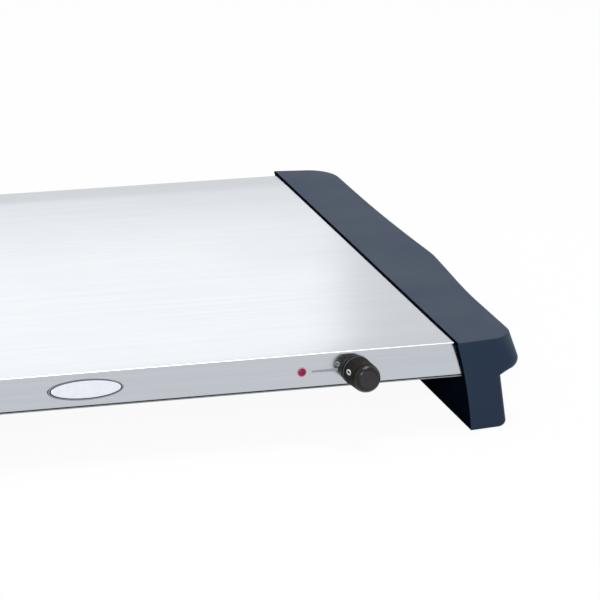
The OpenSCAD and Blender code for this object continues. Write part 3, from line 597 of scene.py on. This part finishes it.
# What is taken out of each cap, with the ribs, bosses and foot seats that stay
hollow = {
    "fit": 0.3 * mm,
    "over": 1 * mm,              # how far a cutter passes the face that it opens
    "beyond": 20 * mm,           # the same, where the room outside is free
    "midLeg": 22 * mm,
    "cornerEase": 1 * mm,
    "ribThickness": 2.2 * mm,
    "ribPitch": 52 * mm,
    "ribMargin": 60 * mm,        # length without ribs, both ends together
    "ribsFrom": 7 * mm,
    "legReach": 60 * mm,
    "gripReach": 70 * mm,
    "gripFree": 100 * mm,
    "gripDown": 8 * mm,          # how far the grip's core passes its underside
    "channelStep": 0.5 * mm,
    "bossRadius": 4 * mm,
    "bossLength": 15 * mm,
    "screwDrop": 12 * mm,
    "endScrew": 40 * mm,         # outer screws, from each fold
    "midScrews": (0.37, 0.63),   # inner screws, as shares of the depth
    "footRadius": 7.55 * mm,
    "footHeight": 4 * mm,
    "footAt": 18 * mm,
    "footWall": 2 * mm,
    "socketSteps": 48,
}


def cylinderMesh(name, radius, length, steps=32):
    rings = [[(radius * math.cos(2 * math.pi * i / steps), radius * math.sin(2 * math.pi * i / steps), z)
              for i in range(steps)] for z in (0, length)]
    return lofted(name, rings)


def ribBlocks(low, keepFree, reach):
    count = int((depth - hollow["ribMargin"]) / hollow["ribPitch"])
    half = hollow["ribThickness"] / 2
    blocks = []
    for i in range(count + 1):
        y = depth / 2 + (i - count / 2) * hollow["ribPitch"]
        if abs(y - cap["bulgeAt"] * depth) > keepFree / 2:
            blocks.append(blockMesh("rib", (halfSteel, frontFold + y - half, low),
                                    (halfSteel + reach, frontFold + y + half, capTop)))
    return newObject("ribs", joined("ribs", blocks))


def endCap():
    body = newObject("endCapRight", capSkin())
    wall, fit, over = cap["wall"], hollow["fit"], hollow["over"]
    pocket = steel["tuck"] + fit
    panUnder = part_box("base_pan")[0].z
    roof = capTop - wall
    base = cap["footProud"] + cap["footRound"]

    # the leg's core keeps its ribs, the floors of the foot seats and the screw bosses
    legRings = []
    for z in (-over, base, hollow["midLeg"], panUnder - 2 * over, panUnder - over, roof):
        inner = max(innerEdge(max(z, 0)), pocket if z > panUnder - 2 * over else 0) + wall
        corner = cap["legCorner"] - wall + hollow["cornerEase"]
        legRings.append(capRing(z, inner, legOut(z) - wall, wall, corner, 0))
    leg = newObject("legCore", lofted("legCore", legRings))
    carve(leg, ribBlocks(hollow["ribsFrom"], 0, hollow["legReach"]))
    floor = hollow["footHeight"] + hollow["footWall"]
    footEnd = hollow["footAt"] + hollow["footRadius"] + hollow["footWall"]
    for y in (-hollow["beyond"], depth - footEnd):
        low = (halfSteel, frontFold + y, -2 * over)
        high = (halfSteel + hollow["legReach"], frontFold + y + hollow["beyond"] + footEnd, floor)
        carve(leg, newObject("footFloor", blockMesh("footFloor", low, high)))
    inner = [depth * share for share in hollow["midScrews"]]
    for y in (hollow["endScrew"], *inner, depth - hollow["endScrew"]):
        at = (halfSteel + steel["tuck"] - steel["thickness"], frontFold + y, steelTop - hollow["screwDrop"])
        place = Matrix.Translation(at) @ Matrix.Rotation(math.pi / 2, 4, "Y")
        boss = cylinderMesh("boss", hollow["bossRadius"], hollow["bossLength"])
        carve(leg, newObject("boss", boss, place))
    carve(body, leg)

    # the grip's core leaves the fingers' channel free of ribs
    gripRings = []
    for z in (cap["gripUnder"] - hollow["gripDown"], cap["noseZ"], roof):
        outer = min(sideOut(z), cap["noseU"] + cap["noseRadius"]) - wall
        gripRings.append(capRing(z, legOut(z) + hollow["channelStep"], outer, wall, cornerAt(z) - wall, 1))
    grip = newObject("gripCore", lofted("gripCore", gripRings))
    carve(grip, ribBlocks(cap["noseZ"], hollow["gripFree"], hollow["gripReach"]))
    carve(body, grip)

    # room for the steel's end, and a socket for each rubber foot
    section = [(frontFold - kick - fit, panUnder - fit), (frontFold - fit, steelTop),
               (backFold + fit, steelTop), (backFold + kick + fit, panUnder - fit)]
    rings = [[(x, y, z) for y, z in section] for x in (halfSteel - hollow["beyond"], halfSteel + pocket)]
    carve(body, newObject("panelPocket", lofted("panelPocket", rings)))
    footX = halfSteel + (innerEdge(0) + legOut(0) - cap["footRound"]) / 2
    for y in (hollow["footAt"], depth - hollow["footAt"]):
        place = Matrix.Translation((footX, frontFold + y, -over))
        length = hollow["footHeight"] + over
        socket = cylinderMesh("socket", hollow["footRadius"], length, hollow["socketSteps"])
        carve(body, newObject("socket", socket, place))
    shadeByAngle(body.data, cap["shadeAngle"])
    for face in body.data.polygons:
        if face.normal.x < cap["shadedFacing"]:            # the side that faces the steel and the table, painted near-black as shade
            face.material_index = 1
    return body


capRight = endCap()
capLeft = newObject("endCapLeft", mirrored(capRight.data, "endCapLeft"))
dress(capRight, None, replaces=["end_cap_right"])
dress(capLeft, None, replaces=["end_cap_left"])
print("end caps lofted:", len(capRight.data.polygons), "faces each")


# The knob is fluted, with a plain scale of numerals on its side

knob = {
    "x": 196 * mm,
    "s": 14.6 * mm,
    "radius": 10.6 * mm,         # near the back rim
    "draft": 0.02,
    "reach": 26.2 * mm,
    "gap": 1.5 * mm,
    "edge": 4.8 * mm,            # rounding of the front, inward
    "edgeLength": 6.5 * mm,      # and along the axis
    "edgeSteps": 14,
    "wall": 1.4 * mm,
    "hubRadius": 5.2 * mm,
    "hubStart": 7 * mm,
    "hubEnd": 5 * mm,            # from the front, where the hub meets the roof
    "wallEnd": 8 * mm,           # from the front, where the wall meets the roof
    "boreRadius": 3.05 * mm,
    "boreEnd": 17.2 * mm,
    "backBreak": 0.3 * mm,
    "backEdge": 0.4 * mm,
    "bead": 0.55 * mm,           # half-width of the bead round the back rim
    "beadInset": 0.3 * mm,
    "beadClear": 0.1 * mm,
    "flutes": 40,
    "stepsPerFlute": 8,
    "fluteDepth": 0.25 * mm,
    "fluteFrom": 5 * mm,
    "fluteSteps": 14,
    "fluteFade": 10,             # a flute fades over a tenth of its length at each end
    "fluteLand": 0.45,           # share of the pitch between two grooves
    "fluteShape": 0.7,
    "rimWidth": 0.5 * mm,        # the flat ring and the slope inside the rounding
    "rimDrop": 0.04 * mm,
    "slopeDrop": 0.16 * mm,
    "dishInset": 0.9 * mm,
    "dish": 0.25 * mm,
    "markAt": 12.0 * mm,
    "markHeight": 8.4 * mm,
    "markWidth": 4.4 * mm,
    "markBold": 0.26 * mm,
    "markRaise": 0.03 * mm,
    "markEdge": 0.5 * mm,        # longer edges of a numeral are divided
    "narrowest": 0.75,           # least width of a numeral for its height, before it is set to size
    "fontSize": 1.4,             # font size for the height of a numeral
    "numerals": 4,
    "zeroAngle": math.radians(164.5),
    "markPitch": math.radians(75),
    "landAngle": math.radians(14),   # half-width of the smooth land under each numeral
    "landFade": math.radians(3),
    "shadeAngle": 38,
    "facesFront": 0.95,          # least turn to the front of the front face
    "facesSide": 0.3,            # most turn to the front of the grip
    "outerBand": 1.2 * mm,
}


def knobMesh():
    r, reach, gap, bead = knob["radius"], knob["reach"], knob["gap"], knob["bead"]
    bore, hub, inside = knob["boreRadius"], knob["hubRadius"], knob["radius"] - knob["wall"]
    edge, edgeLength, steps = knob["edge"], knob["edgeLength"], knob["edgeSteps"]
    front = r - knob["draft"] * (reach - edgeLength - gap)
    profile = [(0, knob["boreEnd"]), (bore, knob["boreEnd"]), (bore, knob["hubStart"]),
               (hub, knob["hubStart"]), (hub, reach - knob["hubEnd"]), (inside, reach - knob["wallEnd"]),
               (inside, gap + knob["backBreak"]), (inside + knob["backBreak"], gap),
               (r - knob["backEdge"], gap)]
    profile += [(r - knob["beadInset"] + bead * math.cos(a), gap + bead + bead * math.sin(a))
                for a in (math.pi * (i / 12 - 0.5) for i in range(2, 12))]
    start, stop = knob["fluteFrom"], reach - edgeLength
    sides = [lerp(gap + 2 * bead + knob["beadClear"], start, i / 4) for i in range(5)]
    sides += [lerp(start, stop, i / knob["fluteSteps"]) for i in range(1, knob["fluteSteps"] + 1)]
    profile += [(r - knob["draft"] * (z - gap), z) for z in sides]
    profile += [(front - edge * (1 - math.cos(a)), reach - edgeLength * (1 - math.sin(a)))
                for a in (math.pi / 2 * i / steps for i in range(1, steps + 1))]
    rim = front - edge - knob["rimWidth"]
    profile += [(rim, reach - knob["rimDrop"]), (rim - knob["rimWidth"], reach - knob["slopeDrop"])]
    floor = rim - knob["dishInset"]
    profile += [(floor - floor * i / 5, reach - knob["dish"]) for i in range(6)]

    def fluted(angle, radius, height):
        if radius < front - 0.01 * mm or not start <= height <= stop:
            return radius
        along = (height - start) / (stop - start)
        turn = (angle - knob["zeroAngle"]) % (2 * math.pi)
        away = min(abs(turn - i * knob["markPitch"]) for i in range(knob["numerals"]))
        away = min(away, 2 * math.pi - turn)
        land = max(0, min(1, (away - knob["landAngle"]) / knob["landFade"]))
        fade = min(1, along * knob["fluteFade"], (1 - along) * knob["fluteFade"]) * land
        wave = abs((angle * knob["flutes"] / (2 * math.pi)) % 1 - 0.5) * 2      # 1 on a groove
        groove = max(0, (wave - knob["fluteLand"]) / (1 - knob["fluteLand"]))
        return radius - knob["fluteDepth"] * fade * groove ** knob["fluteShape"]

    body = lathed("knobBody", profile, knob["flutes"] * knob["stepsPerFlute"], fluted)
    return shadeByAngle(body, knob["shadeAngle"])


def scaleMark(text, angle):
    # a numeral wrapped round the knob's side, its head towards the apron
    curve = bpy.data.curves.new("numeral", "FONT")
    curve.body = text
    curve.size = knob["markHeight"] * knob["fontSize"]
    curve.offset = knob["markBold"]
    curve.align_x = "CENTER"
    curve.align_y = "CENTER"
    curve.resolution_u = 6
    flat = newObject("numeral", curve)
    mesh = evaluatedMesh(flat)
    bpy.data.objects.remove(flat)
    bm = bmesh.new()
    bm.from_mesh(mesh)
    bmesh.ops.triangulate(bm, faces=bm.faces)
    longEdges = [e for e in bm.edges if e.calc_length() > knob["markEdge"]]
    bmesh.ops.subdivide_edges(bm, edges=longEdges, cuts=2)
    xs, ys = [v.co.x for v in bm.verts], [v.co.y for v in bm.verts]
    squeeze = knob["markWidth"] / max(max(xs) - min(xs), knob["narrowest"] * (max(ys) - min(ys)))
    stretch = knob["markHeight"] / (max(ys) - min(ys))
    for v in bm.verts:
        height = knob["markAt"] - (v.co.y - (min(ys) + max(ys)) / 2) * stretch
        around = angle - (v.co.x - (min(xs) + max(xs)) / 2) * squeeze / knob["radius"]
        r = knob["radius"] - knob["draft"] * (height - knob["gap"]) + knob["markRaise"]
        v.co = Vector((r * math.cos(around), r * math.sin(around), height))
    bmesh.ops.recalc_face_normals(bm, faces=bm.faces)
    bm.to_mesh(mesh)
    bm.free()
    return mesh


knobPlace = onFront(knob["x"], knob["s"])
knobPiece = newObject("knobBody", knobMesh(), knobPlace)
knobFinish = plainMoulded("knobBlack", (0.0040, 0.0037, 0.0034),
                          rough=0.24, grain=0.012 * mm, scale=2200, specular=0.32)
dress(knobPiece, knobFinish, body="knob", replaces=["control_knob"])
for finish in (
        plainMoulded("knobFace", (0.040, 0.036, 0.040),
                     rough=0.55, grain=0.06 * mm, scale=1600, specular=0.15),
        # the back rim bead is painted much lighter than the black knob, as a painted highlight
        plainMoulded("knobRimHighlight", (0.075, 0.068, 0.080),
                     rough=0.35, grain=0.02 * mm, scale=1600, specular=0.3),
        plainMoulded("knobGrip", (0.0100, 0.0090, 0.0068),
                     rough=0.55, grain=0.05 * mm, scale=1800, specular=0.04)):
    knobPiece.data.materials.append(finish)
facing = knobPlace.to_3x3() @ Vector((0, 0, 1))
rimEnd = (knobPlace @ Vector((0, 0, knob["gap"] + 2 * knob["bead"]))).dot(facing)


def knobFinishAt(face):
    # 0 the rounding and the inside, 1 the front face, 2 the back rim with its painted highlight, 3 the grip
    turned = face.normal.dot(facing)
    fromAxis = (face.center - knobPlace.translation).cross(facing).length
    outward = fromAxis > knob["radius"] - knob["outerBand"]
    if turned > knob["facesFront"]:
        return 1
    if outward and face.center.dot(facing) < rimEnd:
        return 2
    return 3 if outward and turned < knob["facesSide"] else 0


for face in knobPiece.data.polygons:
    face.material_index = knobFinishAt(face)
inkFinish = plainMoulded("whiteInk", (0.82, 0.82, 0.80), rough=0.45, grain=0.01 * mm)
marks = [scaleMark(str(i), knob["zeroAngle"] + i * knob["markPitch"]) for i in range(knob["numerals"])]
knobScale = newObject("knobScale", joined("knobScale", marks), knobPlace)
dress(knobScale, inkFinish, body="knob")
print("knob turned")


# Indicator lens, oval badge and printed index line

lens = {
    "x": 155.7 * mm,
    "s": 12.5 * mm,
    "radius": 3.4 * mm,          # of the thin flange
    "flange": 0.4 * mm,
    "flangeBreak": 0.1 * mm,
    "flangeRound": 0.15 * mm,
    "stem": 2.5 * mm,
    "length": 16 * mm,
    "bore": 1.9 * mm,
    "boreRoof": 1 * mm,          # depth of the bore's end behind the apron
    "domeRadius": 2.75 * mm,
    "dome": 0.95 * mm,
    "domeSteps": 10,
    "steps": 64,
    "shadeAngle": 40,
}


def lensMesh():
    r, flange, bore, stem = lens["radius"], lens["flange"], lens["bore"], lens["stem"]
    profile = [(0, -lens["boreRoof"]), (bore, -lens["boreRoof"]), (bore, -lens["length"]),
               (stem, -lens["length"]), (stem, 0), (r - lens["flangeBreak"], 0), (r, lens["flangeBreak"]),
               (r, flange - lens["flangeRound"]), (r - lens["flangeRound"], flange)]
    steps = lens["domeSteps"]
    profile += [(lens["domeRadius"] * math.cos(a), flange + lens["dome"] * math.sin(a))
                for a in (math.pi / 2 * i / steps for i in range(steps + 1))]
    return shadeByAngle(lathed("indicatorLens", profile, lens["steps"]), lens["shadeAngle"])


def crimsonLens():
    finish = Finish("crimsonLens", Roughness=0.2, Specular_IOR_Level=0.22)
    finish.mottle(finish.noise(500, detail=2), dark=(0.22, 0.008, 0.048), light=(0.30, 0.011, 0.066))
    finish.bump(finish.noise(900, detail=2), distance=0.01 * mm, strength=0.3)
    return finish.material


lensPlace = onFront(lens["x"], lens["s"])
lensPiece = newObject("indicatorLens", lensMesh(), lensPlace)
dress(lensPiece, crimsonLens(), replaces=["indicator_lens"])
pinkFlange = plainMoulded("pinkFlange", (0.62, 0.27, 0.36), rough=0.3, grain=0.01 * mm, scale=900)
lensPiece.data.materials.append(pinkFlange)
for face in lensPiece.data.polygons:
    at = lensPlace.inverted() @ face.center
    face.material_index = int(math.hypot(at.x, at.y) > lens["domeRadius"] and at.z > 0)

badge = {
    "width": 54 * mm,
    "height": 14.6 * mm,
    "thickness": 0.8 * mm,
    "s": 12.1 * mm,
    "field": (49.6 * mm, 12.2 * mm),      # pale oval inside the dark edge
    # the field and inner rings sit up and to the right, so the dark edge is wider at lower left as a
    # painted shadow
    "shadowShift": (0.35 * mm, 0.3 * mm),
    "groove": 0.15 * mm,
    "crown": 0.12 * mm,
    "crownRings": (0.96, 0.8, 0.5, 0.2),
    "steps": 160,
    "shadeAngle": 45,
}


def badgeMesh():
    # oval rings from the wall inward: dark edge, thin lighter ring, groove, pale domed field; the inner
    # rings are moved up and right, which widens the dark edge at lower left as a painted shadow
    a, b, top = badge["width"] / 2, badge["height"] / 2, badge["thickness"]
    fieldA, fieldB = badge["field"][0] / 2, badge["field"][1] / 2
    sink = top - badge["groove"]
    # each station: share of the way in to the field, height, and finish (0 line, 1 ring, 2 field)
    stations = [(0, 0.0, 0), (0, top - 0.35 * mm, 0), (0.04, top - 0.1 * mm, 0), (0.16, top, 0),
                (0.34, top, 1), (0.52, top, 1), (0.56, sink, 0), (0.94, sink, 0), (1, top - 0.03 * mm, 0)]
    rings = [(lerp(a, fieldA, t), lerp(b, fieldB, t), z, t) for t, z, _ in stations]
    rings += [(fieldA * k, fieldB * k, top + badge["crown"] * (1 - k), 1) for k in badge["crownRings"]]
    n = badge["steps"]
    points = []
    for ringA, ringB, z, shadowWeight in rings:
        for t in (2 * math.pi * i / n for i in range(n)):
            points.append((shadowWeight * badge["shadowShift"][0] + ringA * math.cos(t),
                           shadowWeight * badge["shadowShift"][1] + ringB * math.sin(t), z))
    slots = []
    for i in range(1, len(rings)):
        slots += [stations[i][2] if i < len(stations) else 2] * n
    slots += [0, 2]
    mesh = bpy.data.meshes.new("ovalBadge")
    mesh.from_pydata(points, [], loftFaces(len(rings), n))
    for face, slot in zip(mesh.polygons, slots):
        face.material_index = slot
    return shadeByAngle(mesh, badge["shadeAngle"])


badgePiece = newObject("ovalBadge", badgeMesh(), onFront(0, badge["s"]))
dress(badgePiece, None, replaces=["oval_badge"])
for finish in (plainMoulded("badgeLine", (0.045, 0.052, 0.066), rough=0.4, grain=0.01 * mm, specular=0.3),
               platedMetal("badgeRing", (0.30, 0.32, 0.36)),
               platedMetal("badgeField", (0.82, 0.84, 0.91), rough=0.4, mottle=0.04)):
    badgePiece.data.materials.append(finish)

indexLine = {
    "from": 163.0 * mm,
    "to": 182.0 * mm,
    "s": 12.7 * mm,
    "height": 2.4 * mm,
    "narrow": 0.6,               # height at the lamp, as a share of that at the knob
    "thickness": 0.03 * mm,
    "sunk": 0.2 * mm,
    "steps": 24,
}


def indexMesh():
    # a thin printed rule that tapers towards the lamp
    length, narrow, steps = indexLine["to"] - indexLine["from"], indexLine["narrow"], indexLine["steps"]
    outline = [(t * length, indexLine["height"] / 2 * (narrow + (1 - narrow) * t))
               for t in (i / steps for i in range(steps + 1))]
    outline += [(x, -y) for x, y in reversed(outline)]
    return lofted("indexLine", [[(x, y, z) for x, y in outline]
                                for z in (-indexLine["sunk"], indexLine["thickness"])])


greyInk = plainMoulded("greyInk", (0.34, 0.35, 0.40), grain=0.01 * mm)
indexPiece = newObject("indexLine", indexMesh(), onFront(indexLine["from"], indexLine["s"]))
dress(indexPiece, greyInk)
print("lens, badge and index line placed")


# Pieces carried over from the frame, with their finishes

carried = {
    panFinish: ["base_pan", "element_bars"],
    screwFinish: ["pan_screws", "cap_screws_right", "cap_screws_left", "bushing_washer", "bushing_nut",
                  "thermostat_tabs", "thermostat_shaft", "knob_spring", "lamp_clip", "cutoff_screws",
                  "block_screw", "earth_tag"],
    brassFinish: ["element_ferrules", "thermostat_bushing", "earth_screw"],
    aluminiumFinish: ["heat_spreader"],
    elementFinish: ["heating_element"],
    rubberFinish: ["rubber_feet"],
    glandFinish: ["cord_gland", "gland_nut", "thermal_cutoff"],
    plainMoulded("fibrePad", (0.72, 0.69, 0.60), rough=0.9, grain=0.4 * mm, scale=500, specular=0.2):
        ["insulation_pad"],
    plainMoulded("phenolicCase", (0.55, 0.48, 0.34)): ["thermostat_body"],
    plainMoulded("creamBlock", (0.72, 0.70, 0.60)): ["terminal_block"],
    plainMoulded("sleeve", (0.52, 0.49, 0.38)): ["tab_connectors"],
    plainMoulded("neonGlass", (0.80, 0.62, 0.50), rough=0.1): ["neon_lamp"],
    plainMoulded("brownLead", (0.18, 0.075, 0.03)): ["lead_live"],
    plainMoulded("redLead", (0.36, 0.03, 0.02)): ["lead_switched"],
    plainMoulded("blueLead", (0.04, 0.10, 0.32)): ["lead_neutral", "lead_cutoff"],
    plainMoulded("greenLead", (0.07, 0.26, 0.07)): ["lead_earth"],
    plainMoulded("greyLead", (0.45, 0.45, 0.45)): ["lead_lamp"],
}
for finish, names in carried.items():
    for name in names:
        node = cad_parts[name]
        node.data.materials.clear()
        node.data.materials.append(finish)
print("carried pieces finished")


# Floor, backdrop light, lamps and camera

def backdropRay(nodes, links):
    # 1 for what the camera sees directly, in metal or through glass
    path = nodes.new("ShaderNodeLightPath")
    value = path.outputs["Is Camera Ray"]
    for name in ("Is Glossy Ray", "Is Transmission Ray"):
        node = nodes.new("ShaderNodeMath")
        node.operation = "MAXIMUM"
        links.new(value, node.inputs[0])
        links.new(path.outputs[name], node.inputs[1])
        value = node.outputs[0]
    return value


stage = {"floorHalf": 6.0, "floorColour": (0.90, 0.905, 0.91, 1), "floorWhite": 0.94,
         "roomLight": (0.96, 0.98, 1.0, 1), "roomLevel": 0.45}


def makeFloor():
    half = stage["floorHalf"]
    corners = [(-half, -half, 0), (half, -half, 0), (half, half, 0), (-half, half, 0)]
    mesh = meshFrom("floor", corners, [(0, 1, 2, 3)])
    floor = newObject("floor", mesh)
    material = bpy.data.materials.new("paperFloor")
    material.use_nodes = True
    nodes, links = material.node_tree.nodes, material.node_tree.links
    nodes.clear()
    diffuse = nodes.new("ShaderNodeBsdfDiffuse")
    diffuse.inputs["Color"].default_value = stage["floorColour"]
    glow = nodes.new("ShaderNodeEmission")
    level = nodes.new("ShaderNodeMath")
    level.operation = "MULTIPLY"
    level.inputs[1].default_value = stage["floorWhite"]
    links.new(backdropRay(nodes, links), level.inputs[0])
    mix = nodes.new("ShaderNodeMixShader")
    links.new(level.outputs[0], mix.inputs[0])
    links.new(diffuse.outputs[0], mix.inputs[1])
    links.new(glow.outputs[0], mix.inputs[2])
    output = nodes.new("ShaderNodeOutputMaterial")
    links.new(mix.outputs[0], output.inputs["Surface"])
    mesh.materials.append(material)


def makeRoom():
    world = bpy.data.worlds.new("room")
    bpy.context.scene.world = world
    world.use_nodes = True
    nodes, links = world.node_tree.nodes, world.node_tree.links
    nodes.clear()
    room = nodes.new("ShaderNodeBackground")
    room.inputs["Color"].default_value = stage["roomLight"]
    room.inputs["Strength"].default_value = stage["roomLevel"]
    white = nodes.new("ShaderNodeBackground")
    white.inputs["Color"].default_value = (1, 1, 1, 1)
    mix = nodes.new("ShaderNodeMixShader")
    links.new(backdropRay(nodes, links), mix.inputs[0])
    links.new(room.outputs[0], mix.inputs[1])
    links.new(white.outputs[0], mix.inputs[2])
    output = nodes.new("ShaderNodeOutputWorld")
    links.new(mix.outputs[0], output.inputs["Surface"])


def addLamp(name, at, lookAt, width, height, power, colour=(1, 1, 1)):
    data = bpy.data.lights.new(name, "AREA")
    data.shape = "RECTANGLE"
    data.size = width
    data.size_y = height
    data.energy = power
    data.color = colour
    lamp = newObject(name, data)
    lamp.location = at
    lamp.rotation_euler = (Vector(lookAt) - Vector(at)).to_track_quat("-Z", "Y").to_euler()
    lamp.visible_camera = False


makeFloor()
makeRoom()
addLamp("topPanel", (0.35, -0.15, 2.2), (0.2, 0, 0.05), width=1.4, height=1.0, power=26)
addLamp("frontPanel", (-0.83, -2.40, 1.35), (0.196, -0.2, 0.05), width=0.28, height=0.28, power=22)
addLamp("backPanel", (0.42, 1.9, 0.92), (0.05, 0, 0.06), width=0.98, height=0.54, power=0.95,
        colour=(1, 0.98, 0.93))

# The camera that the photograph's straight edges give, in metres and radians; the focal length is in
# pixels of the frame, the sensor in millimetres
shot = {"at": (-0.724869, -2.770838, 1.035757), "yaw": 0.3282290, "pitch": 0.3288806, "roll": -0.0325158,
        "focal": 4169.465, "frame": 600, "sensor": 36, "farthest": 50}

def makeCamera():
    yaw, pitch, roll = shot["yaw"], shot["pitch"], shot["roll"]
    forward = Vector((math.sin(yaw) * math.cos(pitch), math.cos(yaw) * math.cos(pitch), -math.sin(pitch)))
    right = Vector((math.cos(yaw), -math.sin(yaw), 0))
    down = forward.cross(right)
    x = math.cos(roll) * right + math.sin(roll) * down
    y = math.sin(roll) * right - math.cos(roll) * down
    data = bpy.data.cameras.new("camera")
    data.sensor_fit = "HORIZONTAL"
    data.sensor_width = shot["sensor"]
    data.lens = shot["focal"] / shot["frame"] * shot["sensor"]
    data.clip_end = shot["farthest"]
    camera = newObject("camera", data)
    camera.matrix_world = Matrix.Translation(shot["at"]) @ Matrix((x, y, -forward)).transposed().to_4x4()
    bpy.context.scene.camera = camera


makeCamera()
bpy.context.scene.view_settings.view_transform = "Standard"
print("stage set")
